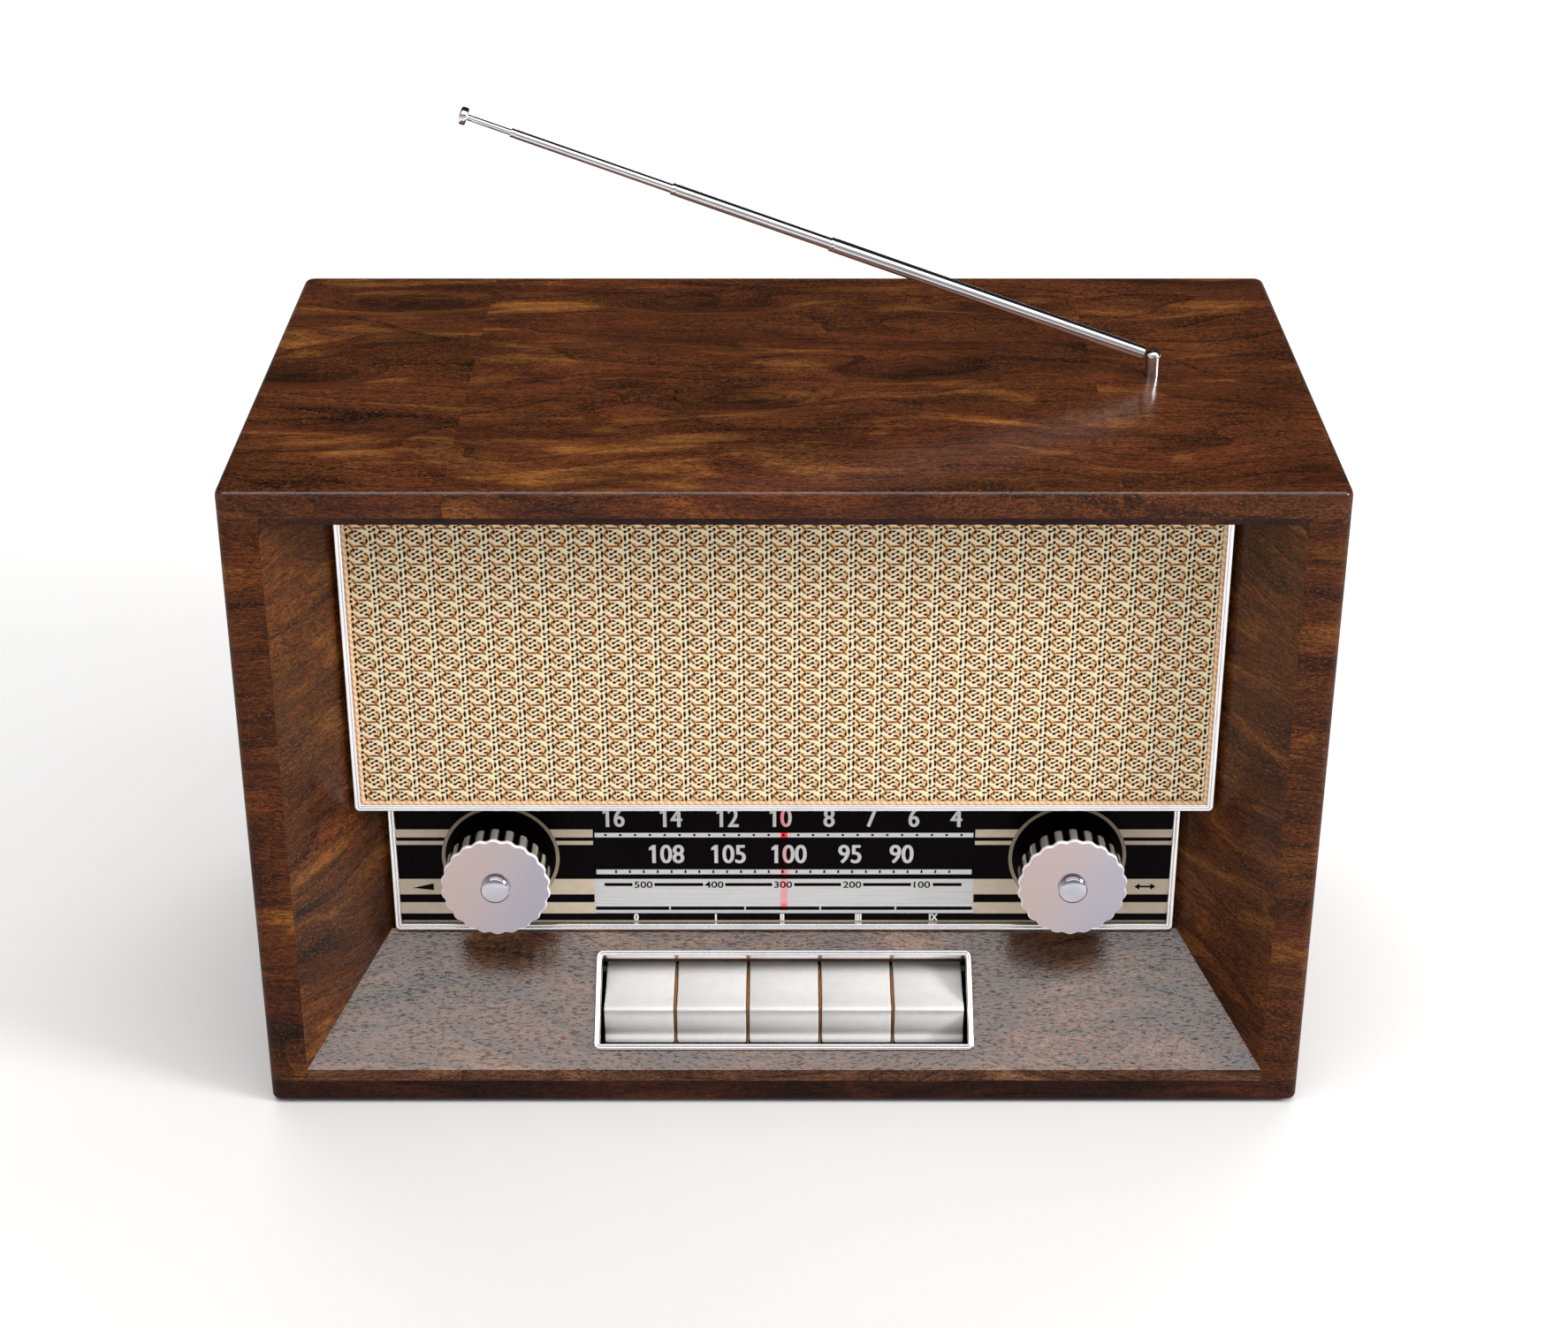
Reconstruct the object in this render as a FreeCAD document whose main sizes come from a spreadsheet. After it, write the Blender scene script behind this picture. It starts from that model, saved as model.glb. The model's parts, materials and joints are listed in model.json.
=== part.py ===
"""Retro table radio: a wooden cabinet with its front, controls, works and telescopic aerial.

The frame: +X to the listener's right, +Y to the back, +Z up, in millimetres. The origin is on the
table under the middle of the cabinet. Heights in the sheet are counted from the cabinet's underside
(the word base), and setbacks from its front face (the word front).
"""
import FreeCAD, Part

import math
import os
import re

import Sketcher

DRIVING = [
    # the cabinet
    ("cab_width", 380.0, "overall width"),
    ("cab_depth", 212.5, "overall depth"),
    ("cab_height", 246.0, "height without the feet"),
    ("foot_rise", 1.5, "thickness of the rubber feet"),
    ("foot_radius", 8.0, "radius of a foot"),
    ("foot_inset", 24.0, "foot centre from the cabinet's edges"),
    ("top_board", 9.7, "thickness of the top"),
    ("base_board", 8.8, "thickness of the bottom"),
    ("side_board", 14.25, "thickness of each side"),
    ("edge_round", 3.0, "rounding of the outer edges"),
    ("base_round", 1.5, "rounding of the bottom edges"),
    ("rail_drop", 2.3, "how far the rail over the opening hangs below the top"),
    ("rail_depth", 26.0, "depth of that rail"),
    ("ear_depth", 7.0, "depth of the rail's rounded ears"),
    ("ear_round", 6.0, "radius of the opening's upper corners"),
    ("block_size", 20.0, "section of the corner blocks"),
    ("block_length", 30.0, "length of the corner blocks"),
    # the funnel-shaped recess
    ("cheek_splay", 0.634, "inward run of a cheek per unit of depth"),
    ("cheek_board", 6.0, "thickness of a cheek"),
    ("cheek_depth", 48.5, "depth of a cheek"),
    ("sill_lip", 13.6, "height of the sill's front edge"),
    ("sill_run", 44.2, "depth of the sloping sill"),
    ("sill_rise", 33.57, "rise of the sill over that depth"),
    ("sill_board", 9.0, "thickness of the sill"),
    # the loudspeaker grille
    ("grille_setback", 27.5, "front of the grille frame"),
    ("grille_half", 155.6, "half width of the grille frame"),
    ("grille_foot", 107.6, "lower edge of the grille frame"),
    ("grille_head", 233.4, "upper edge of the grille frame"),
    ("grille_band", 2.5, "width of the frame's band"),
    ("grille_rim", 2.2, "depth of the frame"),
    ("grille_corner", 2.0, "corner radius of the frame"),
    ("cloth_thick", 0.8, "thickness of the grille cloth"),
    ("baffle_board", 8.0, "thickness of the grille board"),
    # the dial
    ("dial_setback", 44.5, "front of the dial glass"),
    ("dial_half", 146.2, "half width of the dial frame"),
    ("dial_foot", 47.4, "lower edge of the dial frame"),
    ("dial_head", 112.0, "upper edge of the dial frame"),
    ("dial_band", 2.6, "width of the dial frame's band"),
    ("dial_lip", 2.2, "how far the dial frame stands in front of the glass"),
    ("dial_corner", 1.8, "corner radius of the dial frame"),
    ("glass_thick", 2.0, "thickness of the dial glass"),
    ("glass_lap", 1.3, "how far the frame's lip laps over the glass"),
    ("glass_play", 0.1, "play of the glass in its frame"),
    ("reflector_gap", 1.8, "space behind the glass for the pointer"),
    ("reflector_thick", 1.0, "thickness of the reflector plate"),
    ("pointer_width", 2.6, "width of the pointer"),
    ("pointer_thick", 0.8, "thickness of the pointer"),
    ("pointer_gap", 0.5, "space between glass and pointer"),
    ("pointer_foot", 53.4, "lower end of the pointer"),
    ("pointer_head", 119.5, "upper end of the pointer"),
    ("rail_height", 116.0, "height of the pointer rail"),
    ("rail_setback", 55.0, "setback of the pointer rail"),
    ("rail_half", 82.0, "half length of the pointer rail"),
    ("rail_radius", 1.5, "radius of the pointer rail"),
    # knobs and what they turn
    ("knob_offset", 105.4, "knob axis from the middle"),
    ("knob_height", 78.5, "height of the knob axis"),
    ("knob_setback", 22.0, "front face of a knob"),
    ("knob_radius", 20.1, "radius over the lobes of the knob's disc"),
    ("body_radius", 19.6, "radius over the flutes of the knob's body"),
    ("disc_thick", 1.6, "thickness of the disc"),
    ("body_thick", 8.4, "thickness of the fluted body"),
    ("hub_radius", 7.0, "radius of the hub behind the body"),
    ("hub_length", 10.5, "length of that hub"),
    ("flute_radius", 3.2, "radius of the cutter that leaves the lobes"),
    ("flute_depth", 0.8, "depth of the flutes"),
    ("knob_lobes", 22, "number of lobes"),
    ("boss_radius", 5.4, "radius of the chrome boss"),
    ("boss_height", 3.2, "height of the boss"),
    ("boss_dome", 2.2, "height of the domed part of the boss"),
    ("shaft_radius", 3.0, "radius of the control shafts"),
    ("shaft_play", 0.05, "running clearance of a shaft"),
    ("shaft_start", 27.0, "setback of the shafts' front ends"),
    ("glass_hole", 3.6, "radius of the shaft holes in the glass"),
    ("chassis_setback", 50.0, "front of the chassis plate"),
    ("sheet_steel", 1.5, "thickness of the chassis"),
    ("pot_radius", 12.0, "radius of the volume control's case"),
    ("pot_depth", 10.0, "depth of that case"),
    ("bush_radius", 4.8, "radius of the threaded bushes"),
    ("spindle_radius", 5.0, "radius of the spindle's flanges"),
    ("spindle_groove", 4.0, "radius at the bottom of the spindle's groove"),
    # the cord drive and the tuning capacitor
    ("cord_setback", 60.0, "plane of the cord drive"),
    ("cord_radius", 0.4, "radius of the dial cord"),
    ("drum_offset", 40.0, "drum axis from the middle"),
    ("drum_height", 70.0, "height of the drum axis"),
    ("drum_radius", 40.0, "outer radius of the drum"),
    ("drum_groove", 38.5, "radius at the bottom of the drum's groove"),
    ("drum_thick", 4.0, "thickness of the drum"),
    ("guide_radius", 4.5, "outer radius of the cord guides"),
    ("guide_groove", 3.5, "radius at the bottom of a guide's groove"),
    ("guide_offset", 90.0, "guide from the middle"),
    ("lamp_offset", 124.0, "dial lamps from the middle"),
    # the keys
    ("key_pitch", 27.0, "spacing of the keys"),
    ("key_width", 25.7, "width of a key"),
    ("divider_thick", 0.6, "thickness of the dividers between the keys"),
    ("pivot_setback", 52.0, "setback of the key pivot"),
    ("pivot_height", 24.0, "height of the key pivot"),
    ("pivot_radius", 2.0, "radius of the pivot rod"),
    ("pivot_play", 0.08, "running clearance of a key on its rod"),
    ("pivot_half", 73.5, "half length of the pivot rod"),
    ("frame_half", 70.5, "half width of the key frame"),
    ("frame_low", 7.5, "key frame's lower edge, along the slope"),
    ("frame_high", 46.75, "key frame's upper edge, along the slope"),
    ("frame_band", 2.4, "width of the key frame's band"),
    ("frame_proud", 1.2, "how far the key frame stands above the sill"),
    ("frame_skirt", 3.0, "how far its skirt reaches into the sill"),
    ("frame_corner", 2.8, "corner radius of the key frame"),
    ("window_play", 0.5, "space round the skirt in the sill's window"),
    # the loudspeaker
    ("speaker_height", 177.0, "height of the loudspeaker's axis"),
    ("speaker_radius", 54.0, "radius of the loudspeaker's flange"),
    ("speaker_mouth", 48.0, "radius of the opening in the grille board"),
    ("flange_thick", 1.5, "thickness of the flange"),
    ("basket_depth", 28.0, "depth of the conical basket"),
    ("basket_neck", 22.0, "radius of the basket at the magnet"),
    ("basket_sheet", 1.2, "thickness of the basket's sheet"),
    ("magnet_radius", 30.0, "radius of the magnet"),
    ("magnet_thick", 14.0, "thickness of the magnet"),
    # the works at the back
    ("back_inset", 1.5, "back panel from the cabinet's rear edge"),
    ("back_board", 3.0, "thickness of the back panel"),
    ("back_play", 0.5, "play of the back panel in the cabinet"),
    ("screw_shank", 1.5, "radius of the wood screws"),
    ("screw_head", 3.2, "radius of the screw heads"),
    ("screw_length", 14.0, "length of the wood screws"),
    ("pcb_thick", 1.6, "thickness of the circuit board"),
    ("pcb_standoff", 8.0, "height of the board's standoffs"),
    # the aerial
    ("aerial_offset", 134.4, "aerial axis from the middle"),
    ("post_radius", 2.8, "radius of the aerial's post"),
    ("hinge_rise", 7.0, "height of the aerial's hinge above the top"),
    ("hinge_pin", 0.7, "radius of the hinge pin"),
    ("hinge_slot", 2.0, "width of the fork's slot"),
    ("tang_thick", 1.8, "thickness of the tang in the fork"),
    ("tang_radius", 2.2, "radius of the tang round the pin"),
    ("aerial_tilt", 20.0, "angle of the aerial above the horizontal, degrees"),
    ("tube_play", 0.05, "running clearance of each telescopic section"),
    ("tube1_start", 4.0, "start of the first section, from the hinge"),
    ("tube1_end", 125.6, "mouth of the first section"),
    ("tube1_radius", 2.6, "outer radius of the first section"),
    ("tube1_plug", 8.0, "length of the solid plug at its foot"),
    ("tube2_start", 70.6, "foot of the second section"),
    ("tube2_end", 185.4, "mouth of the second section"),
    ("tube2_radius", 2.15, "outer radius of the second section"),
    ("tube3_start", 133.4, "foot of the third section"),
    ("tube3_end", 245.0, "mouth of the third section"),
    ("tube3_radius", 1.65, "outer radius of the third section"),
    ("tube4_start", 156.0, "foot of the fourth section, a solid rod"),
    ("tube4_end", 260.8, "end of the fourth section"),
    ("tube4_radius", 1.1, "radius of the fourth section"),
    ("tip_radius", 3.2, "radius of the tip cap"),
    ("tip_length", 3.0, "length of the tip cap"),
]

# Words that stand for an expression in the driving dimensions.
DERIVED = {
    "front": "(-cab_depth / 2)",
    "back": "(cab_depth / 2)",
    "base": "foot_rise",
    "top": "(foot_rise + cab_height)",
    "inner_half": "(cab_width / 2 - side_board)",
    "floor_level": "(foot_rise + base_board)",
    "ceiling_level": "(foot_rise + cab_height - top_board)",
    "sill_angle": "atan(sill_rise / sill_run)",
    "hinge_level": "(foot_rise + cab_height + hinge_rise)",
    "back_face": "(cab_depth / 2 - back_inset - back_board)",
    "baffle_front": "(grille_setback + grille_rim)",
    "baffle_back": "(grille_setback + grille_rim + baffle_board)",
    "glass_back": "(dial_setback + glass_thick)",
    "chassis_back": "(chassis_setback + sheet_steel)",
}

doc = FreeCAD.newDocument("table_radio")
dims = doc.addObject("Spreadsheet::Sheet", "Dims")
for row, (alias, value, note) in enumerate(DRIVING, start=1):
    dims.set(f"A{row}", alias)
    dims.set(f"B{row}", str(value))
    dims.set(f"C{row}", note)
    dims.setAlias(f"B{row}", alias)
doc.recompute()

ALIASES = {alias for alias, _, _ in DRIVING}
WORD = re.compile(r"[A-Za-z_][A-Za-z_0-9]*")
parts = {}


# ---------------------------------------------------------------- expressions and placements

def ex(text):
    """The FreeCAD expression for a text that uses the sheet's words and the derived ones."""
    def expand(match):
        word = match.group(0)
        if word in DERIVED:
            return ex(DERIVED[word])
        return f"Dims.{word}" if word in ALIASES else word
    return WORD.sub(expand, str(text))


def value(text):
    """The number that such a text stands for."""
    number = dims.evalExpression(ex(text))
    return float(getattr(number, "Value", number))


def bind(thing, **properties):
    """Tie properties of an object to expressions; a double underscore stands for a dot."""
    for name, text in properties.items():
        thing.setExpression(name.replace("__", "."), ex(text))


def place(thing, at, axis=(0, 0, 1), angle="0"):
    """Bind an object's placement: where its origin goes, and one turn about an axis."""
    bind(thing, Placement__Base__x=at[0], Placement__Base__y=at[1], Placement__Base__z=at[2])
    bind(thing, Placement__Rotation__Axis__x=axis[0], Placement__Rotation__Axis__y=axis[1],
         Placement__Rotation__Axis__z=axis[2], Placement__Rotation__Angle=angle)


def part(label, thing):
    """Name the finished sub-part; the label names its file."""
    thing.Label = label
    parts[label] = thing
    return thing


# ---------------------------------------------------------------- primitives and booleans

def box(name, low, high):
    """A box between two corners, each given as three texts."""
    solid = doc.addObject("Part::Box", name)
    bind(solid, Length=f"({high[0]}) - ({low[0]})", Width=f"({high[1]}) - ({low[1]})",
         Height=f"({high[2]}) - ({low[2]})")
    place(solid, low)
    return solid


TURN = {"X": ((0, 1, 0), "90"), "Y": ((1, 0, 0), "-90"), "Z": ((0, 0, 1), "0")}


def cylinder(name, axis, radius, foot, length):
    """A cylinder that starts at foot and runs along +X, +Y or +Z."""
    solid = doc.addObject("Part::Cylinder", name)
    bind(solid, Radius=radius, Height=length)
    place(solid, foot, *TURN[axis])
    return solid


def cone(name, axis, radius_start, radius_end, foot, length):
    """A truncated cone that starts at foot and runs along +X, +Y or +Z."""
    solid = doc.addObject("Part::Cone", name)
    bind(solid, Radius1=radius_start, Radius2=radius_end, Height=length)
    place(solid, foot, *TURN[axis])
    return solid


def cut(name, base, *tools):
    """The base with each tool cut away."""
    for number, tool in enumerate(tools):
        result = doc.addObject("Part::Cut", f"{name}_cut{number}")
        result.Base = base
        result.Tool = tool
        base = result
    return base


def fuse(name, *shapes):
    result = doc.addObject("Part::MultiFuse", name + "_fuse")
    result.Shapes = list(shapes)
    return result


def common(name, first, second):
    result = doc.addObject("Part::Common", name + "_common")
    result.Base = first
    result.Tool = second
    return result


def group(name, *solids):
    """Separate solids that share one node, such as a set of screws."""
    result = doc.addObject("Part::Compound", name + "_group")
    result.Links = list(solids)
    return result


def ring(name, axis, outer, inner, foot, length):
    """A plain ring or tube along an axis."""
    return cut(name, cylinder(name + "_outer", axis, outer, foot, length),
               cylinder(name + "_bore", axis, inner, foot, length))


# ---------------------------------------------------------------- bodies with sketches

PLANE = {"X": "YZ_Plane", "Y": "XZ_Plane", "Z": "XY_Plane"}


def new_body(name):
    return doc.addObject("PartDesign::Body", name + "_body")


def sketch_on(body, axis, level):
    """An empty sketch square to an axis, at a level along it."""
    sketch = body.newObject("Sketcher::SketchObject", body.Name + "_sketch")
    plane = next(item for item in body.Origin.OriginFeatures if item.Role == PLANE[axis])
    sketch.AttachmentSupport = [(plane, "")]
    sketch.MapMode = "FlatFace"
    # the XZ plane looks along -Y, so its own third axis runs backwards
    bind(sketch, AttachmentOffset__Base__z=f"-({level})" if axis == "Y" else level)
    return sketch


def pin_point(sketch, geometry, point, u, v):
    """Fix one point of a sketch by its two distances from the origin."""
    for kind, text in (("DistanceX", u), ("DistanceY", v)):
        index = sketch.addConstraint(Sketcher.Constraint(kind, -1, 1, geometry, point, value(text)))
        sketch.setExpression(f"Constraints[{index}]", ex(text))


def draw_outline(sketch, outline):
    """A closed outline of straight lines through the given points."""
    first = sketch.GeometryCount
    count = len(outline)
    spots = [FreeCAD.Vector(value(u), value(v), 0) for u, v in outline]
    for number in range(count):
        sketch.addGeometry(Part.LineSegment(spots[number], spots[(number + 1) % count]))
    for number in range(count):
        follower = first + (number + 1) % count
        sketch.addConstraint(Sketcher.Constraint("Coincident", first + number, 2, follower, 1))
    for number, (u, v) in enumerate(outline):
        pin_point(sketch, first + number, 1, u, v)


def draw_circle(sketch, u, v, radius):
    centre = FreeCAD.Vector(value(u), value(v), 0)
    index = sketch.addGeometry(Part.Circle(centre, FreeCAD.Vector(0, 0, 1), value(radius)))
    pin_point(sketch, index, 3, u, v)
    constraint = sketch.addConstraint(Sketcher.Constraint("Radius", index, value(radius)))
    sketch.setExpression(f"Constraints[{constraint}]", ex(radius))


def rectangle(u0, u1, v0, v1):
    return [(u0, v0), (u1, v0), (u1, v1), (u0, v1)]


def volume_of(body):
    return 0.0 if body.Shape.isNull() else body.Shape.Volume


def extrude(body, kind, axis, low, high, outlines=(), circles=()):
    """A Pad or a Pocket between two levels along an axis."""
    pad = kind == "Pad"
    starts_low = pad != (axis == "Y")
    sketch = sketch_on(body, axis, low if starts_low else high)
    for outline in outlines:
        draw_outline(sketch, outline)
    for u, v, radius in circles:
        draw_circle(sketch, u, v, radius)
    before = volume_of(body)
    feature = body.newObject("PartDesign::" + kind, f"{body.Name}_{kind.lower()}")
    feature.Profile = sketch
    bind(feature, Length=f"({high}) - ({low})")
    doc.recompute()
    changed = volume_of(body) - before
    if (changed > 0) != pad:
        raise RuntimeError(f"{feature.Name} changed nothing")
    return feature


def round_edges(body, radius, wanted):
    """Round the edges of a body whose middle passes a test."""
    base = body.Tip
    names = []
    for number, edge in enumerate(base.Shape.Edges, start=1):
        middle = edge.valueAt((edge.FirstParameter + edge.LastParameter) / 2)
        if wanted(middle, edge):
            names.append(f"Edge{number}")
    feature = body.newObject("PartDesign::Fillet", body.Name + "_fillet")
    feature.Base = (base, names)
    bind(feature, Radius=radius)
    doc.recompute()
    return feature


def runs_along(edge, axis):
    """Whether an edge is straight and lies along X, Y or Z."""
    if edge.Curve.TypeId != "Part::GeomLine":
        return False
    return abs(abs(getattr(edge.Curve.Direction, axis.lower())) - 1) < 1e-6


# ---------------------------------------------------------------- the cabinet

def top_panel():
    body = new_body("top_panel")
    sheet = rectangle("-cab_width / 2", "cab_width / 2", "front", "back")
    aerial_hole = ("aerial_offset", "0", "post_radius + shaft_play")
    extrude(body, "Pad", "Z", "ceiling_level", "top", [sheet], [aerial_hole])
    round_edges(body, "edge_round", lambda middle, edge: runs_along(edge, "Z"))
    reach = value("post_radius") + 1
    offset = FreeCAD.Vector(value("aerial_offset"), 0, 0)

    def upper_rim(middle, edge):
        flat = FreeCAD.Vector(middle.x, middle.y, 0)
        return abs(middle.z - value("top")) < 1e-6 and flat.distanceToPoint(offset) > reach

    round_edges(body, "edge_round", upper_rim)
    return part("top_panel", body)


def bottom_panel():
    body = new_body("bottom_panel")
    sheet = rectangle("-cab_width / 2", "cab_width / 2", "front", "back")
    extrude(body, "Pad", "Z", "base", "floor_level", [sheet])
    relief = rectangle("-frame_half", "frame_half", "front + 13", "front + 27")
    extrude(body, "Pocket", "Z", "base + base_board / 2", "floor_level", [relief])
    corner = value("cab_width / 2 - 1")
    round_edges(body, "edge_round",
                lambda middle, edge: runs_along(edge, "Z") and abs(middle.x) > corner)
    round_edges(body, "base_round", lambda middle, edge: abs(middle.z - value("base")) < 1e-6)
    return part("bottom_panel", body)


def side_panel(label, side):
    """One side; side is -1 on the left and 1 on the right."""
    body = new_body(label)
    plank = rectangle(f"{side} * inner_half", f"{side} * cab_width / 2", "front", "back")
    extrude(body, "Pad", "Z", "floor_level", "ceiling_level", [plank])
    outside = value("cab_width / 2")
    round_edges(body, "edge_round",
                lambda middle, edge: runs_along(edge, "Z") and abs(abs(middle.x) - outside) < 1e-6)
    return part(label, body)


def head_rail():
    """The strip over the opening, with the ears that round the opening's upper corners."""
    body = new_body("head_rail")
    strip = rectangle("-inner_half", "inner_half", "ceiling_level - rail_drop", "ceiling_level")
    extrude(body, "Pad", "Y", "front", "front + rail_depth", [strip])
    for side in (-1, 1):
        ear = rectangle(f"{side} * (inner_half - ear_round)", f"{side} * inner_half",
                        "ceiling_level - rail_drop - ear_round", "ceiling_level - rail_drop")
        extrude(body, "Pad", "Y", "front", "front + ear_depth", [ear])
        hollow = (f"{side} * (inner_half - ear_round)", "ceiling_level - rail_drop - ear_round",
                  "ear_round")
        extrude(body, "Pocket", "Y", "front", "front + ear_depth", circles=[hollow])
    return part("head_rail", body)


def funnel_half(setback):
    """The half width of the recess at a setback."""
    return f"(inner_half - cheek_splay * ({setback}))"


def cheek(label, side, rail):
    """A splayed board that lines one side of the recess, fitted round the rail's ear."""
    body = new_body(label)
    inner_end = funnel_half("cheek_depth")
    outline = [
        (f"{side} * inner_half", "front"),
        (f"{side} * {inner_end}", "front + cheek_depth"),
        (f"{side} * ({inner_end} + cheek_board / cos(atan(cheek_splay)))", "front + cheek_depth"),
        (f"{side} * inner_half", "front + cheek_board / sin(atan(cheek_splay))"),
    ]
    extrude(body, "Pad", "Z", "floor_level", "ceiling_level - 0.01", [outline])
    fitted = cut(label, body, rail)
    return part(label, fitted)


def sloping_sill():
    """The sloping board below the dial, mitred to the cheeks, with the window for the keys."""
    body = new_body("sloping_sill")
    slope = "(sill_rise / sill_run)"
    underside = "sill_board / cos(sill_angle)"
    profile = [
        ("front", "floor_level"),
        ("front", "base + sill_lip"),
        ("front + sill_run", "base + sill_lip + sill_rise"),
        ("front + sill_run", f"base + sill_lip + sill_rise - {underside}"),
        (f"front + (base_board - sill_lip + {underside}) / {slope}", "floor_level"),
    ]
    extrude(body, "Pad", "X", "-inner_half", "inner_half", [profile])
    plan = new_body("sill_plan")
    trapezium = [
        (f"-{funnel_half(0)}", "front"),
        (funnel_half(0), "front"),
        (funnel_half("sill_run"), "front + sill_run"),
        (f"-{funnel_half('sill_run')}", "front + sill_run"),
    ]
    extrude(plan, "Pad", "Z", "base", "base + dial_foot", [trapezium])
    window = box("sill_window", ("0", "0", "0"), ("1", "1", "1"))
    skirt_half = "(frame_half - frame_band + 0.6 + window_play)"
    skirt_low = "(frame_low + frame_band - 0.6 - window_play)"
    skirt_high = "(frame_high - frame_band + 0.6 + window_play)"
    bind(window, Length=f"2 * {skirt_half}", Width=f"{skirt_high} - {skirt_low}",
         Height="3 * sill_board")
    drop = "2 * sill_board"
    place(window,
          (f"-{skirt_half}",
           f"front + {skirt_low} * cos(sill_angle) + {drop} * sin(sill_angle)",
           f"base + sill_lip + {skirt_low} * sin(sill_angle) - {drop} * cos(sill_angle)"),
          (1, 0, 0), "sill_angle")
    board = cut("sloping_sill", common("sloping_sill", body, plan), window)
    return part("sloping_sill", board)


def corner_blocks():
    """Glue blocks in the rear corners, bored for the back panel's screws."""
    blocks = []
    for side, level, x, z in back_corners():
        low_x = f"min({side} * inner_half; {side} * (inner_half - block_size))"
        low_z = "floor_level" if level < 0 else "ceiling_level - block_size"
        name = f"block_{len(blocks)}"
        block = box(name, (low_x, "back_face - block_length", low_z),
                    (f"{low_x} + block_size", "back_face", f"{low_z} + block_size"))
        pilot = cylinder(name + "_pilot", "Y", "screw_shank",
                         (x, "back_face - screw_length + back_board", z), "screw_length")
        blocks.append(cut(name, block, pilot))
    return part("corner_blocks", group("corner_blocks", *blocks))


def back_corners():
    """Side, level and screw position of the four rear corners."""
    corners = []
    for side in (-1, 1):
        x = f"{side} * (inner_half - block_size / 2)"
        corners.append((side, -1, x, "floor_level + block_size / 2"))
        corners.append((side, 1, x, "ceiling_level - block_size / 2"))
    return corners


def back_panel():
    """The hardboard back, with rows of cooling slots and the mains inlet's opening."""
    panel = box("back_sheet", ("-inner_half + back_play", "back_face", "floor_level + back_play"),
                ("inner_half - back_play", "back_face + back_board", "ceiling_level - back_play"))
    tools = []
    for _, _, x, z in back_corners():
        tools.append(cylinder("back_screw_hole", "Y", "screw_shank", (x, "back_face - 1", z), "6"))
    slot_pitch = 14
    for row in (0, 1, 2):
        for column in range(-7, 8):
            x = f"{slot_pitch * column} - 3"
            z = f"base + 118 + {34 * row}"
            tools.append(box("slot", (x, "back_face - 1", z),
                             (f"{x} + 6", "back_face + back_board + 1", f"{z} + 24")))
    inlet = box("inlet_opening", ("100", "back_face - 1", "base + 26"),
                ("121", "back_face + back_board + 1", "base + 38"))
    openings = group("back_openings", *tools, inlet)
    return part("back_panel", cut("back_panel", panel, openings))


def back_panel_screws():
    screws = []
    for number, (_, _, x, z) in enumerate(back_corners()):
        name = f"screw_{number}"
        head = cylinder(name + "_head", "Y", "screw_head", (x, "back_face + back_board", z), "1.4")
        shank = cylinder(name + "_shank", "Y", "screw_shank",
                         (x, "back_face - screw_length + back_board", z), "screw_length")
        slot = box(name + "_slot", (f"{x} - 3", "back_face + back_board + 0.8", f"{z} - 0.4"),
                   (f"{x} + 3", "back_face + back_board + 2", f"{z} + 0.4"))
        screws.append(cut(name, fuse(name, head, shank), slot))
    return part("back_panel_screws", group("back_panel_screws", *screws))


def rubber_feet():
    feet = []
    for side in (-1, 1):
        for end in (-1, 1):
            centre = (f"{side} * (cab_width / 2 - foot_inset)",
                      f"{end} * (cab_depth / 2 - foot_inset)", "0")
            feet.append(cylinder(f"foot_{len(feet)}", "Z", "foot_radius", centre, "foot_rise"))
    return part("rubber_feet", group("rubber_feet", *feet))


# ---------------------------------------------------------------- the grille

def grille_frame():
    body = new_body("grille_frame")
    outer = rectangle("-grille_half", "grille_half", "base + grille_foot", "base + grille_head")
    inner = rectangle("-grille_half + grille_band", "grille_half - grille_band",
                      "base + grille_foot + grille_band", "base + grille_head - grille_band")
    extrude(body, "Pad", "Y", "front + grille_setback", f"front + baffle_front", [outer, inner])
    rim = value("grille_half - 1")
    round_edges(body, "grille_corner",
                lambda middle, edge: runs_along(edge, "Y") and abs(middle.x) > rim)
    return part("grille_frame", body)


def grille_cloth():
    """The woven cloth, stretched over the board inside the frame."""
    cloth = box("grille_cloth_sheet",
                ("-grille_half + grille_band", "front + baffle_front - cloth_thick",
                 "base + grille_foot + grille_band"),
                ("grille_half - grille_band", "front + baffle_front",
                 "base + grille_head - grille_band"))
    return part("grille_cloth", cloth)


def grille_board():
    """The board behind the cloth, bevelled to the cheeks, with the loudspeaker's opening."""
    body = new_body("grille_board")
    setback = "(baffle_front)"
    outline = [
        ("-grille_half + 0.3", f"front + {setback}"),
        ("grille_half - 0.3", f"front + {setback}"),
        (f"{funnel_half('baffle_back')} - 0.1", "front + baffle_back"),
        (f"-{funnel_half('baffle_back')} + 0.1", "front + baffle_back"),
    ]
    extrude(body, "Pad", "Z", "base + grille_foot", "base + grille_head", [outline])
    mouth = cylinder("speaker_mouth_cutter", "Y", "speaker_mouth",
                     ("0", "front + baffle_front - 1", "base + speaker_height"),
                     "baffle_board + 2")
    return part("grille_board", cut("grille_board", body, mouth))


# ---------------------------------------------------------------- the dial

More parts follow.
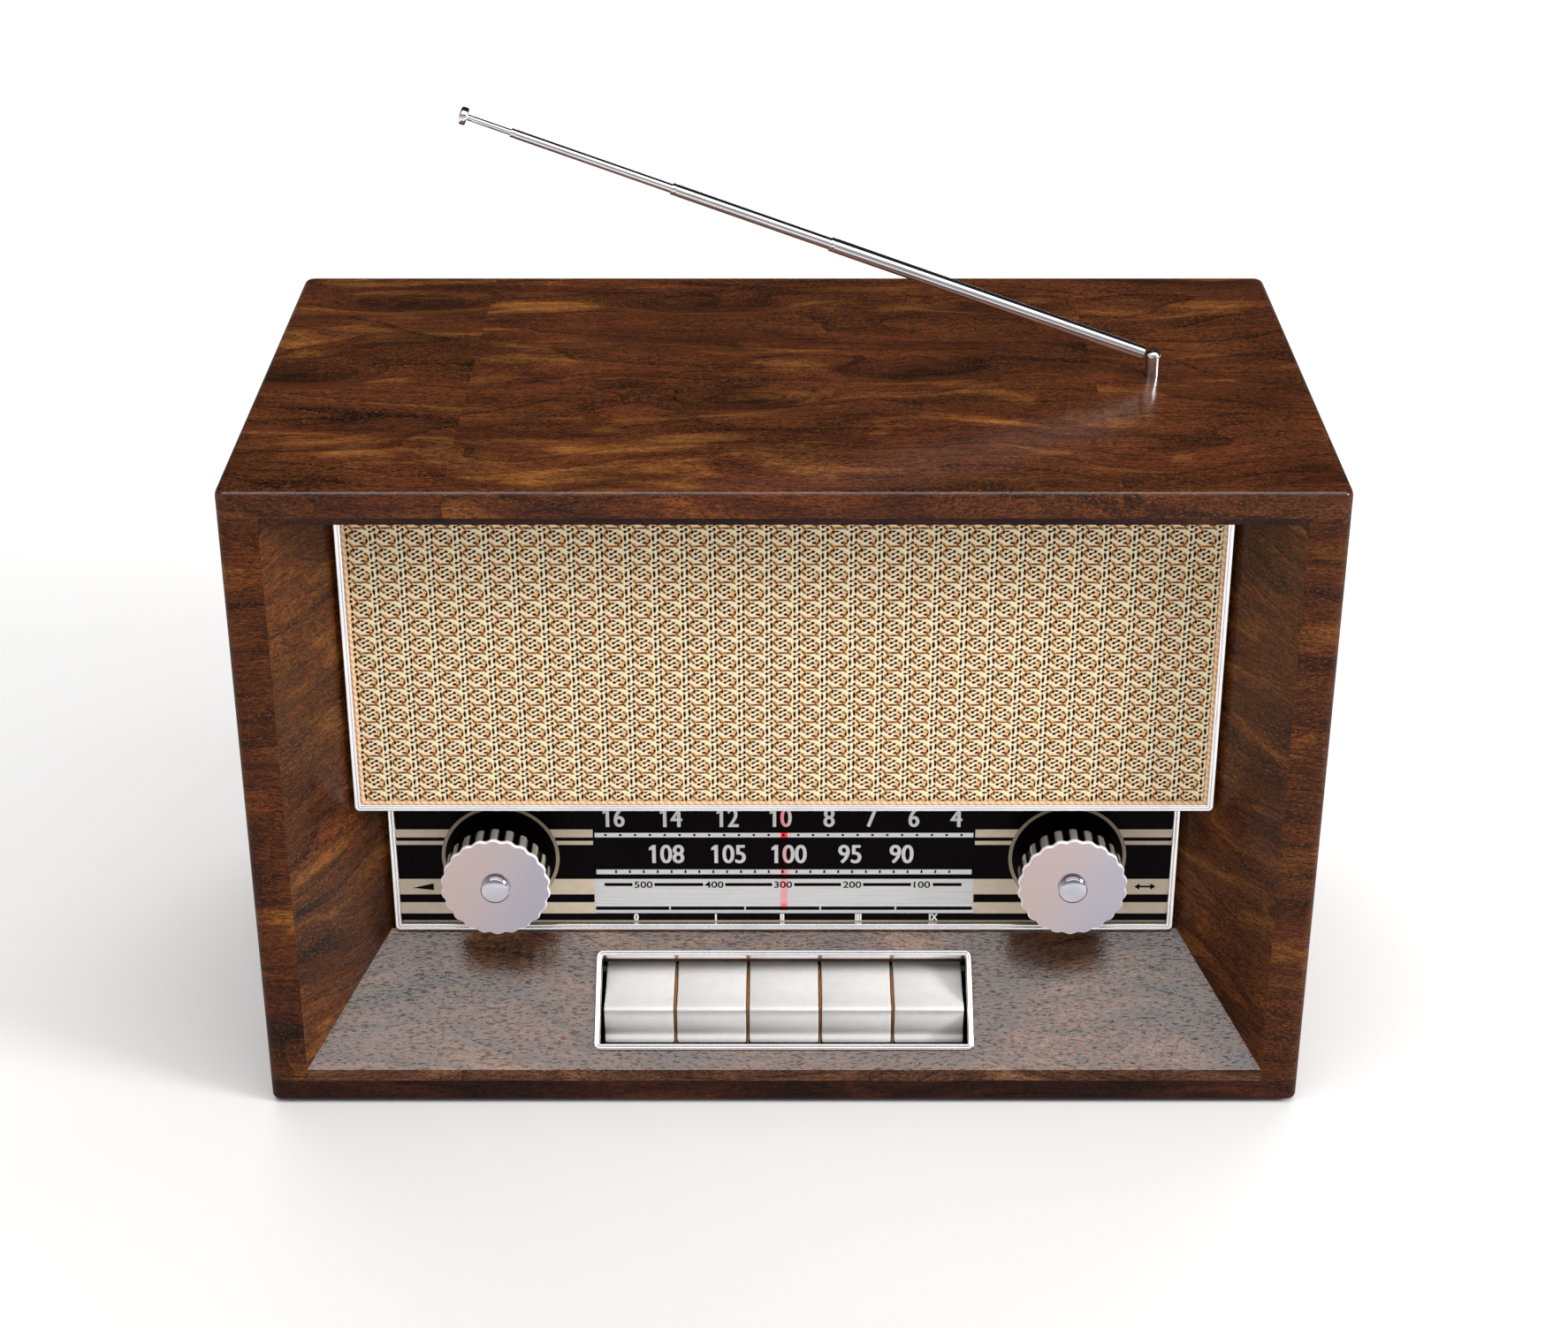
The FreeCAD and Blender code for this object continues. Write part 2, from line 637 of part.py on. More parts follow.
def dial_frame():
    """The chrome bezel, rebated at the back for the glass."""
    body = new_body("dial_frame")
    outer = rectangle("-dial_half", "dial_half", "base + dial_foot", "base + dial_head")
    inner = rectangle("-dial_half + dial_band", "dial_half - dial_band",
                      "base + dial_foot + dial_band", "base + dial_head - dial_band")
    extrude(body, "Pad", "Y", "front + dial_setback - dial_lip", "front + glass_back",
            [outer, inner])
    wall = "(dial_band - glass_lap)"
    rebate = rectangle(f"-dial_half + {wall}", f"dial_half - {wall}",
                       f"base + dial_foot + {wall}", f"base + dial_head - {wall}")
    extrude(body, "Pocket", "Y", "front + dial_setback", "front + glass_back", [rebate])
    rim = value("dial_half - 0.5")
    round_edges(body, "dial_corner",
                lambda middle, edge: runs_along(edge, "Y") and abs(middle.x) > rim)
    return part("dial_frame", body)


def dial_glass():
    """The scale glass, printed on its back, with a hole for each control shaft."""
    body = new_body("dial_glass")
    wall = "(dial_band - glass_lap + glass_play)"
    sheet = rectangle(f"-dial_half + {wall}", f"dial_half - {wall}",
                      f"base + dial_foot + {wall}", f"base + dial_head - {wall}")
    holes = [(f"{side} * knob_offset", "base + knob_height", "glass_hole") for side in (-1, 1)]
    extrude(body, "Pad", "Y", "front + dial_setback", "front + glass_back", [sheet], holes)
    return part("dial_glass", body)


def dial_reflector():
    """The pale plate behind the pointer that lights the scale's windows."""
    body = new_body("dial_reflector")
    sheet = rectangle("-knob_offset - 30", "knob_offset + 30", "base + dial_foot + 4",
                      "base + dial_head - 4")
    holes = [(f"{side} * knob_offset", "base + knob_height", "glass_hole") for side in (-1, 1)]
    extrude(body, "Pad", "Y", "front + glass_back + reflector_gap",
            "front + glass_back + reflector_gap + reflector_thick", [sheet], holes)
    return part("dial_reflector", body)


# height of the cord's upper run, which passes through the pointer's clip
CORD_LEVEL = "(rail_height - 2.5)"
CORD_REACH = "(cord_radius + 0.15)"
GUIDE_LEVEL = f"(base + {CORD_LEVEL} - guide_groove - {CORD_REACH})"


def dial_pointer():
    """The pointer strip, bent back over the chassis to its carriage on the rail."""
    near = "front + glass_back + pointer_gap"
    strip = box("pointer_strip", ("-pointer_width / 2", near, "base + pointer_foot"),
                ("pointer_width / 2", f"{near} + pointer_thick", "base + pointer_head"))
    bend = box("pointer_bend", ("-pointer_width / 2", near, "base + pointer_head - 1"),
               ("pointer_width / 2", "front + rail_setback + 3", "base + pointer_head"))
    carriage = box("pointer_carriage", ("-6", "front + rail_setback - 3", "base + rail_height - 3"),
                   ("6", "front + rail_setback + 3", "base + pointer_head"))
    clip = box("cord_clip", ("-3", "front + rail_setback + 2", f"base + {CORD_LEVEL} - 1.2"),
               ("3", "front + cord_setback + 1.2", f"base + {CORD_LEVEL} + 1.2"))
    bore = cylinder("carriage_bore", "X", "rail_radius + shaft_play",
                    ("-7", "front + rail_setback", "base + rail_height"), "14")
    eye = cylinder("clip_eye", "X", "cord_radius + shaft_play",
                   ("-7", "front + cord_setback", f"base + {CORD_LEVEL}"), "14")
    whole = fuse("pointer", strip, bend, carriage, clip)
    return part("dial_pointer", cut("dial_pointer", whole, bore, eye))


def pointer_rail():
    """The rod that the carriage slides on, with a foot at each end on the chassis."""
    rod = cylinder("rail_rod", "X", "rail_radius",
                   ("-rail_half", "front + rail_setback", "base + rail_height"), "2 * rail_half")
    feet = []
    for side in (-1, 1):
        low = f"{side} * rail_half - 2"
        feet.append(box(f"rail_foot_{len(feet)}",
                        (low, "front + chassis_back", "base + rail_height - 12"),
                        (f"{low} + 4", "front + rail_setback + 3", "base + rail_height + 3")))
    return part("pointer_rail", fuse("pointer_rail", rod, *feet))


def dial_lamps():
    """Two small lamps in their holders, behind holes in the chassis."""
    lamps = []
    for side in (-1, 1):
        centre = (f"{side} * lamp_offset", "front + chassis_back", "base + rail_height - 16")
        name = f"lamp_{len(lamps)}"
        holder = cylinder(name + "_holder", "Y", "4.5", centre, "14")
        bulb = cylinder(name + "_bulb", "Y", "2.6",
                        (centre[0], "front + glass_back + reflector_gap + reflector_thick + 0.3",
                         centre[2]), "6")
        lamps.append(fuse(name, holder, bulb))
    return part("dial_lamps", group("dial_lamps", *lamps))


# ---------------------------------------------------------------- knobs and shafts

def lobed_disc(name, radius, low, high, flutes_low):
    """A disc with shallow flutes round its edge, centred on the body's own Y axis."""
    body = new_body(name)
    extrude(body, "Pad", "Y", low, high, circles=[("0", "0", radius)])
    cutter = ("0", f"{radius} + flute_radius - flute_depth", "flute_radius")
    flute = extrude(body, "Pocket", "Y", flutes_low, high, circles=[cutter])
    pattern = body.newObject("PartDesign::PolarPattern", name + "_lobes")
    pattern.Originals = [flute]
    pattern.Axis = (flute.Profile[0], ["N_Axis"])
    pattern.Angle = 360
    bind(pattern, Occurrences="knob_lobes")
    body.Tip = pattern
    doc.recompute()
    return body


def knob(name, side):
    """Fluted body on its hub, satin disc in front and chrome boss, round one control shaft."""
    where = (f"{side} * knob_offset", "front + knob_setback", "base + knob_height")
    disc = lobed_disc(name + "_disc", "knob_radius", "0", "disc_thick", "0")
    place(disc, where)
    part(name + "_disc", disc)

    body = lobed_disc(name, "body_radius", "disc_thick", "disc_thick + body_thick", "disc_thick")
    rear = "disc_thick + body_thick"
    extrude(body, "Pad", "Y", rear, f"{rear} + hub_length", circles=[("0", "0", "hub_radius")])
    extrude(body, "Pocket", "Y", "shaft_start - knob_setback", f"{rear} + hub_length",
            circles=[("0", "0", "shaft_radius")])
    place(body, where)
    part(name, body)

    rise = "(boss_height - boss_dome)"
    ball_radius = "((boss_radius * boss_radius + boss_dome * boss_dome) / (2 * boss_dome))"
    start = (where[0], f"{where[1]} - boss_height", where[2])
    stub = cylinder(name + "_boss_stub", "Y", "boss_radius", start, f"boss_dome + {rise}")
    ball = doc.addObject("Part::Sphere", name + "_boss_ball")
    bind(ball, Radius=ball_radius)
    place(ball, (where[0], f"{where[1]} - boss_height + {ball_radius}", where[2]))
    part(name + "_boss", common(name + "_boss", stub, ball))


def volume_shaft():
    shaft = cylinder("volume_shaft_rod", "Y", "shaft_radius",
                     ("-knob_offset", "front + shaft_start", "base + knob_height"),
                     "chassis_back + 4 - shaft_start")
    return part("volume_shaft", shaft)


def volume_control():
    """The potentiometer: bush through the chassis, round case and three tags."""
    axis = ("-knob_offset", "front + chassis_back", "base + knob_height")
    case = cylinder("pot_case", "Y", "pot_radius", axis, "pot_depth")
    bush = cylinder("pot_bush", "Y", "bush_radius",
                    (axis[0], "front + chassis_setback - 0.4", axis[2]), "sheet_steel + 1")
    bore = cylinder("pot_bore", "Y", "shaft_radius + shaft_play",
                    (axis[0], "front + chassis_setback - 1", axis[2]), "sheet_steel + 5.5")
    tags = []
    for tag in (-1, 0, 1):
        x = f"{axis[0]} + {4 * tag}"
        tags.append(box(f"pot_tag_{tag + 1}", (f"{x} - 1", "front + chassis_back + 3", "base + 60"),
                        (f"{x} + 1", "front + chassis_back + 3.8", "base + knob_height - 10")))
    return part("volume_control", cut("volume_control", fuse("pot", case, bush, *tags), bore))


def tuner_shaft():
    """The tuning shaft with its grooved spindle for the dial cord."""
    axis = ("knob_offset", "front + shaft_start", "base + knob_height")
    rod = cylinder("tuner_rod", "Y", "shaft_radius", axis, "cord_setback + 6 - shaft_start")
    flanges = cylinder("tuner_spindle", "Y", "spindle_radius",
                       (axis[0], "front + cord_setback - 3", axis[2]), "6")
    groove = ring("tuner_groove", "Y", "spindle_radius + 1", "spindle_groove",
                  (axis[0], "front + cord_setback - 1.5", axis[2]), "3")
    return part("tuner_shaft", cut("tuner_shaft", fuse("tuner", rod, flanges), groove))


# ---------------------------------------------------------------- cord drive and capacitor

def tuning_drum():
    """The grooved drum on the capacitor's shaft."""
    axis = ("drum_offset", "front + cord_setback - drum_thick / 2", "base + drum_height")
    wheel = cylinder("drum_wheel", "Y", "drum_radius", axis, "drum_thick")
    groove = ring("drum_groove_cut", "Y", "drum_radius + 1", "drum_groove",
                  (axis[0], "front + cord_setback - 0.8", axis[2]), "1.6")
    hub = cylinder("drum_hub", "Y", "7", axis, "drum_thick + 3")
    bore = cylinder("drum_bore", "Y", "shaft_radius", (axis[0], f"{axis[1]} - 1", axis[2]), "12")
    holes = []
    for turn in range(6):
        angle = 60 * turn
        holes.append(cylinder(f"drum_window_{turn}", "Y", "8",
                              (f"{axis[0]} + 23 * cos({angle})", f"{axis[1]} - 1",
                               f"{axis[2]} + 23 * sin({angle})"), "10"))
    return part("tuning_drum", cut("tuning_drum", fuse("drum", wheel, hub), groove, bore, *holes))


def cord_guides():
    """Two fixed grooved studs on the chassis that the cord slides round."""
    guides = []
    for side in (-1, 1):
        centre = (f"{side} * guide_offset", "front + cord_setback - 1.5", GUIDE_LEVEL)
        name = f"guide_{len(guides)}"
        wheel = cylinder(name + "_wheel", "Y", "guide_radius", centre, "3")
        groove = ring(name + "_groove", "Y", "guide_radius + 1", "guide_groove",
                      (centre[0], "front + cord_setback - 0.6", centre[2]), "1.2")
        stud = cylinder(name + "_stud", "Y", "1.5", (centre[0], "front + chassis_back", centre[2]),
                        "cord_setback - chassis_back + 3")
        guides.append(cut(name, fuse(name, wheel, stud), groove))
    return part("cord_guides", group("cord_guides", *guides))


def circle_path(centre, radius, start, end):
    """An arc in the cord's plane from one angle to another, counter-clockwise seen from behind."""
    middle = (start + end) / 2
    points = []
    for angle in (start, middle, end):
        turned = FreeCAD.Rotation(FreeCAD.Vector(0, -1, 0), angle)
        points.append(centre + turned.multVec(FreeCAD.Vector(radius, 0, 0)))
    return Part.Arc(*points).toShape()


def dial_cord():
    """The endless cord: along the rail, over the guides, round the spindle and the drum."""
    turns = [
        ("-guide_offset", GUIDE_LEVEL, "guide_groove"),
        ("drum_offset", "base + drum_height", "drum_groove"),
        ("knob_offset", "base + knob_height", "spindle_groove"),
        ("guide_offset", GUIDE_LEVEL, "guide_groove"),
    ]
    y = value("front + cord_setback")
    wheels = [(FreeCAD.Vector(value(x), y, value(z)), value(f"{groove} + {CORD_REACH}"))
              for x, z, groove in turns]
    outline = belt_round(wheels)
    start = outline.Edges[0].valueAt(outline.Edges[0].FirstParameter)
    along = outline.Edges[0].tangentAt(outline.Edges[0].FirstParameter)
    section = Part.Wire(Part.Circle(start, along, value("cord_radius")).toShape())
    solid = outline.makePipeShell([section], True, False)
    cord = doc.addObject("Part::Feature", "dial_cord_sweep")
    cord.Shape = solid
    return part("dial_cord", cord)


def belt_round(wheels):
    """The closed path that goes round the outside of the wheels, anticlockwise seen from the front."""
    count = len(wheels)
    tangents = []
    for number in range(count):
        (a, radius_a), (b, radius_b) = wheels[number], wheels[(number + 1) % count]
        span = math.hypot(b.x - a.x, b.z - a.z)
        heading = math.atan2(b.z - a.z, b.x - a.x)
        lean = heading - math.pi / 2 + math.asin((radius_a - radius_b) / span)
        leave = FreeCAD.Vector(a.x + radius_a * math.cos(lean), a.y, a.z + radius_a * math.sin(lean))
        reach = FreeCAD.Vector(b.x + radius_b * math.cos(lean), b.y, b.z + radius_b * math.sin(lean))
        tangents.append((leave, reach, math.degrees(lean)))
    edges = []
    for number in range(count):
        leave, reach, lean = tangents[number]
        edges.append(Part.LineSegment(leave, reach).toShape())
        centre, radius = wheels[(number + 1) % count]
        next_lean = tangents[(number + 1) % count][2]
        while next_lean < lean:
            next_lean += 360
        edges.append(circle_path(centre, radius, lean, next_lean))
    return Part.Wire(edges)


def tuning_capacitor():
    """The capacitor's frame: two end plates, a base bar and the fixed plates."""
    x, z = "drum_offset", "base + drum_height"
    near = "front + cord_setback + 8"
    solids = []
    for number, start in enumerate((0, 34)):
        low = f"{near} + {start}"
        solids.append(box(f"cap_plate_{number}", (f"{x} - 20", low, f"{z} - 24"),
                          (f"{x} + 24", f"{low} + 2", f"{z} + 20")))
    solids.append(box("cap_bar", (f"{x} - 20", near, f"{z} - 27"),
                      (f"{x} + 24", f"{near} + 36", f"{z} - 24")))
    solids.append(box("cap_stator_bar", (f"{x} + 20", near, f"{z} - 20"),
                      (f"{x} + 24", f"{near} + 36", f"{z} + 16")))
    for number in range(5):
        low = f"{near} + {6 + 5 * number}"
        solids.append(box(f"cap_vane_{number}", (f"{x} + 4.5", low, f"{z} - 18"),
                          (f"{x} + 21", f"{low} + 0.8", f"{z} + 14")))
    bore = cylinder("cap_bore", "Y", "shaft_radius + shaft_play", (x, f"{near} - 1", z), "38")
    legs = box("cap_legs", (f"{x} - 20", f"{near} + 20", "floor_level + sheet_steel"),
               (f"{x} + 24", f"{near} + 34", f"{z} - 27"))
    return part("tuning_capacitor", cut("tuning_capacitor", fuse("cap", *solids, legs), bore))


def capacitor_rotor():
    """The shaft with its half-round moving plates."""
    x, z = "drum_offset", "base + drum_height"
    near = "front + cord_setback + 8"
    axle = cylinder("rotor_axle", "Y", "shaft_radius",
                    (x, "front + cord_setback - drum_thick / 2", z), "45")
    vanes = [axle]
    for number in range(4):
        low = f"{near} + {8.5 + 5 * number}"
        disc = cylinder(f"rotor_disc_{number}", "Y", "15", (x, low, z), "0.8")
        half = box(f"rotor_half_{number}", (f"{x} - 16", f"{low} - 1", f"{z} - 16"),
                   (x, f"{low} + 2", f"{z} + 16"))
        vanes.append(common(f"rotor_vane_{number}", disc, half))
    return part("capacitor_rotor", fuse("capacitor_rotor", *vanes))


# ---------------------------------------------------------------- the keys

def key_profile():
    """Side view of a key: setback and height of each corner, from the nose round to the back."""
    return [
        (16.6, 29.7), (20.0, 29.5), (27.0, 29.6), (34.0, 31.0), (42.0, 32.2), (50.0, 31.5),
        (56.0, 28.0), (56.4, 20.0), (54.2, 12.2), (50.4, 12.2), (48.8, 20.2), (30.0, 20.2),
        (23.6, 20.2), (21.6, 11.6), (17.6, 11.6), (17.6, 14.4), (19.3, 16.6), (17.6, 28.0),
        (16.5, 28.7),
    ]


def setting_out(points):
    """Setbacks and heights as sketch texts."""
    return [(f"front + {setback}", f"base + {height}") for setback, height in points]


def key(number):
    """One piano key, which rocks on the pivot rod."""
    name = f"key_{number}"
    body = new_body(name)
    hole = ("front + pivot_setback", "base + pivot_height", "pivot_radius + pivot_play")
    extrude(body, "Pad", "X", "-key_width / 2", "key_width / 2", [setting_out(key_profile())],
            [hole])
    place(body, (f"{number - 3} * key_pitch", "0", "0"))
    return part(name, body)


def key_dividers():
    """A comb of four thin ribs between the keys, on a bar that lies on the bottom board."""
    rib = [
        (17.9, 11.6), (17.9, 14.4), (19.6, 16.6), (17.9, 27.8), (17.0, 28.8), (20.0, 29.0),
        (27.0, 29.1), (34.0, 30.5), (40.0, 31.4), (40.0, 9.0), (27.0, 9.0), (25.0, 11.6),
    ]
    solids = []
    for place_number in (-1.5, -0.5, 0.5, 1.5):
        body = new_body(f"divider_{len(solids)}")
        extrude(body, "Pad", "X", "-divider_thick / 2", "divider_thick / 2", [setting_out(rib)])
        place(body, (f"{place_number} * key_pitch", "0", "0"))
        solids.append(body)
    bar = box("divider_bar", ("-2 * key_pitch", "front + 28", "floor_level"),
              ("2 * key_pitch", "front + 39", "floor_level + 2"))
    return part("key_dividers", fuse("key_dividers", bar, *solids))


def key_frame():
    """The metal bezel round the keys: a band on the sill and a skirt in its window."""
    body = new_body("key_frame")
    outer = rectangle("-frame_half", "frame_half", "frame_low", "frame_high")
    inner = rectangle("-frame_half + frame_band", "frame_half - frame_band",
                      "frame_low + frame_band", "frame_high - frame_band")
    extrude(body, "Pad", "Z", "0", "frame_proud", [outer, inner])
    rim = value("frame_half - 0.5")
    round_edges(body, "frame_corner",
                lambda middle, edge: runs_along(edge, "Z") and abs(middle.x) > rim)
    wall = 0.6
    skirt = rectangle(f"-frame_half + frame_band - {wall}", f"frame_half - frame_band + {wall}",
                      f"frame_low + frame_band - {wall}", f"frame_high - frame_band + {wall}")
    extrude(body, "Pad", "Z", "-frame_skirt", "0", [skirt, inner])
    place(body, ("0", "front", "base + sill_lip"), (1, 0, 0), "sill_angle")
    return part("key_frame", body)


def key_pivot_rod():
    rod = cylinder("pivot_rod", "X", "pivot_radius",
                   ("-pivot_half", "front + pivot_setback", "base + pivot_height"),
                   "2 * pivot_half")
    return part("key_pivot_rod", rod)


def key_switch_bank():
    """The sliding-switch bank behind the keys, with a contact button for each."""
    case = box("bank_case", ("-70", "front + 59", "floor_level + sheet_steel"),
               ("70", "front + 84", "floor_level + sheet_steel + 14"))
    buttons = []
    for number in range(-2, 3):
        buttons.append(cylinder(f"bank_button_{number + 2}", "Y", "2",
                                (f"{number} * key_pitch", "front + 57.6", "base + 16"), "2"))
    return part("key_switch_bank", fuse("key_switch_bank", case, *buttons))


# ---------------------------------------------------------------- chassis and electronics

def chassis():
    """One folded steel sheet: an upright plate behind the dial and a shelf on the bottom board.

    The ears for the key pivot, the collar for the tuning shaft and the posts for the circuit board
    are drawn out of it.
    """
    upright = box("chassis_upright", ("-142", "front + chassis_setback", "floor_level"),
                  ("142", "front + chassis_back", "base + dial_head - 1"))
    shelf = box("chassis_shelf", ("-142", "front + chassis_setback", "floor_level"),
                ("142", "front + 190", "floor_level + sheet_steel"))
    ears = []
    for side in (-1, 1):
        low = f"{side} * 72.75 - 0.75"
        ears.append(box(f"pivot_ear_{len(ears)}", (low, "front + chassis_setback", "floor_level"),
                        (f"{low} + 1.5", "front + 58", "base + 34")))
    key_gap = box("key_gap", ("-72", "front + chassis_setback - 1", "base"),
                  ("72", "front + 58.5", "base + 38"))
    rod_hole = cylinder("rod_hole", "X", "pivot_radius",
                        ("-80", "front + pivot_setback", "base + pivot_height"), "160")
    collar = cylinder("shaft_collar", "Y", "bush_radius",
                      ("knob_offset", "front + chassis_setback", "base + knob_height"), "5")
    bearing = cylinder("shaft_bearing", "Y", "shaft_radius + shaft_play",
                       ("knob_offset", "front + chassis_setback - 1", "base + knob_height"), "8")
    control = cylinder("control_hole", "Y", "bush_radius",
                       ("-knob_offset", "front + chassis_setback - 1", "base + knob_height"), "4")
    posts = []
    for x in (-124, 4):
        for y in (102, 180):
            posts.append(cylinder(f"board_post_{len(posts)}", "Z", "3",
                                  (str(x), f"front + {y}", "floor_level"),
                                  "sheet_steel + pcb_standoff"))
    holes = [bearing, control]
    for side in (-1, 1):
        holes.append(cylinder(f"lamp_hole_{side + 1}", "Y", "3.2",
                              (f"{side} * lamp_offset", "front + chassis_setback - 1",
                               "base + rail_height - 16"), "4"))
    plate = cut("chassis_plate", fuse("chassis_sheet", upright, shelf), key_gap)
    whole = fuse("chassis", plate, collar, *ears, *posts)
    return part("chassis", cut("chassis", whole, rod_hole, *holes))


def circuit_board():
    low = "floor_level + sheet_steel + pcb_standoff"
    board = box("board_sheet", ("-130", "front + 96", low), ("10", "front + 186", f"{low} + pcb_thick"))
    return part("circuit_board", board)


def board_components():
    """The parts soldered to the board: coil cans, electrolytics, output transistors, a sink."""
    level = "floor_level + sheet_steel + pcb_standoff + pcb_thick"
    pieces = []
    for column in range(4):
        x = -120 + 24 * column
        pieces.append(box(f"coil_can_{column}", (str(x), "front + 104", level),
                          (f"{x} + 11", "front + 115", f"{level} + 15")))
    for column, (radius, tall) in enumerate(((6, 22), (6, 22), (8, 30), (5, 14))):
        pieces.append(cylinder(f"electrolytic_{column}", "Z", str(radius),
                               (str(-112 + 26 * column), "front + 140", level), str(tall)))
    pieces.append(box("heat_sink", ("-60", "front + 164", level), ("-10", "front + 170", f"{level} + 24")))
    for column in range(6):
        x = -118 + 9 * column
        pieces.append(box(f"small_part_{column}", (str(x), "front + 160", level),
                          (f"{x} + 4", "front + 172", f"{level} + 4")))
    return part("board_components", group("board_components", *pieces))


def mains_transformer():
    """Laminated core with its winding and two fixing feet."""
    low = "floor_level + sheet_steel"
    core = box("core", ("66", "front + 124", f"{low} + 2"), ("118", "front + 152", f"{low} + 46"))
    window = box("core_window", ("76", "front + 123", f"{low} + 11"),
                 ("108", "front + 153", f"{low} + 37"))
    winding = box("winding", ("76", "front + 116", f"{low} + 11"), ("108", "front + 160", f"{low} + 37"))
    feet = box("transformer_feet", ("56", "front + 130", low), ("128", "front + 146", f"{low} + 2"))
    body = fuse("transformer", cut("core_ring", core, window), winding, feet)
    return part("mains_transformer", body)


def mains_inlet():
    """The two-pin appliance inlet in the back panel."""
    case = box("inlet_case", ("100", "back_face - 16", "base + 26"), ("121", "back_face + back_board", "base + 38"))
    mouth = box("inlet_mouth", ("102", "back_face - 10", "base + 28"),
                ("119", "back_face + back_board + 1", "base + 36"))
    pins = [cylinder(f"inlet_pin_{number}", "Y", "1.2", (str(x), "back_face - 11", "base + 32"), "10")
            for number, x in enumerate((106.5, 114.5))]
    return part("mains_inlet", fuse("mains_inlet", cut("inlet_shell", case, mouth), *pins))


# ---------------------------------------------------------------- the loudspeaker

def loudspeaker():
    """Basket, paper cone and magnet on one axis behind the grille board."""
    x, z = "0", "base + speaker_height"
    near = "front + baffle_back"
    cone_start = f"{near} + flange_thick"
    flange = ring("speaker_flange", "Y", "speaker_radius", "speaker_mouth - 1", (x, near, z),
                  "flange_thick")
    outer = cone("basket_outer", "Y", "speaker_mouth + 1", "basket_neck", (x, cone_start, z),
                 "basket_depth")
    inner = cone("basket_inner", "Y", "speaker_mouth + 1 - basket_sheet",
                 "basket_neck - basket_sheet", (x, cone_start, z), "basket_depth")
    shell = cut("basket_shell", outer, inner)
    windows = []
    for turn in range(2):
        angle = 45 + 90 * turn
        bar = box(f"basket_window_{turn}", ("-60", "-10", "8"), ("60", "10", "20"))
        place(bar, (x, f"{near} + 9", z), (0, 1, 0), str(angle))
        bind(bar, Length="120", Width="14", Height="24")
        bar.setExpression("Placement.Base.x", ex(f"{x} - 60 * cos({angle}) - 12 * sin({angle})"))
        bar.setExpression("Placement.Base.z", ex(f"{z} + 60 * sin({angle}) - 12 * cos({angle})"))
        windows.append(bar)
    part("speaker_basket", fuse("speaker_basket", flange, cut("basket_open", shell, *windows)))

    paper = "0.9"
    cone_outer = cone("paper_outer", "Y", "speaker_mouth - 3", "13", (x, f"{cone_start} - 0.5", z), "22")
    cone_inner = cone("paper_inner", "Y", f"speaker_mouth - 3 - {paper}", f"13 - {paper}",
                      (x, f"{cone_start} - 0.5", z), "22")
    cap = cylinder("dust_cap", "Y", "14", (x, f"{cone_start} + 19.5", z), "1.5")
    part("speaker_cone", fuse("speaker_cone", cut("paper_shell", cone_outer, cone_inner), cap))

    magnet_start = f"{cone_start} + basket_depth"
    ring_magnet = cylinder("magnet_ring", "Y", "magnet_radius", (x, magnet_start, z), "magnet_thick")
    back_plate = cylinder("magnet_plate", "Y", "magnet_radius - 4",
                          (x, f"{magnet_start} + magnet_thick", z), "4")
    part("speaker_magnet", fuse("speaker_magnet", ring_magnet, back_plate))


# ---------------------------------------------------------------- the aerial

def along_aerial(distance):
    """The point at a distance from the hinge along the aerial."""
    return (f"aerial_offset - ({distance}) * cos(aerial_tilt)", "0",
            f"hinge_level + ({distance}) * sin(aerial_tilt)")


def aerial_rod(name, radius, start, end):
    """A cylinder along the aerial, between two distances from the hinge."""
    solid = doc.addObject("Part::Cylinder", name)
    bind(solid, Radius=radius, Height=f"({end}) - ({start})")
    place(solid, along_aerial(start), (0, 1, 0), "-90 + aerial_tilt")
    return solid


def antenna_bush():
    """The nut and sleeve under the top board that hold the post."""
    nut = cylinder("bush_nut", "Z", "6", ("aerial_offset", "0", "ceiling_level - 6"), "6")
    bore = cylinder("nut_bore", "Z", "post_radius + shaft_play",
                    ("aerial_offset", "0", "ceiling_level - 7"), "8")
    return part("antenna_bush", cut("antenna_bush", nut, bore))


def antenna_post():
    """The swivelling post, a fork at its top and a flange that keeps it in the bush."""
    stem = cylinder("post_stem", "Z", "post_radius", ("aerial_offset", "0", "ceiling_level - 8"),
                    "top_board + 8 + hinge_rise")
    keeper = cylinder("post_keeper", "Z", "4.5", ("aerial_offset", "0", "ceiling_level - 8"), "1.9")
    dome = doc.addObject("Part::Sphere", "post_dome")
    bind(dome, Radius="post_radius")
    place(dome, ("aerial_offset", "0", "hinge_level"))
    slot = box("fork_slot", ("aerial_offset - 5", "-hinge_slot / 2", "hinge_level - tang_radius - 0.4"),
               ("aerial_offset + 5", "hinge_slot / 2", "hinge_level + 5"))
    pin = cylinder("fork_pin_hole", "Y", "hinge_pin", ("aerial_offset", "-4", "hinge_level"), "8")
    post = fuse("antenna_post", stem, keeper, dome)
    return part("antenna_post", cut("antenna_post", post, slot, pin))


def antenna_hinge_pin():
    pin = cylinder("pin_rod", "Y", "hinge_pin", ("aerial_offset", "-2.6", "hinge_level"), "5.2")
    return part("antenna_hinge_pin", pin)


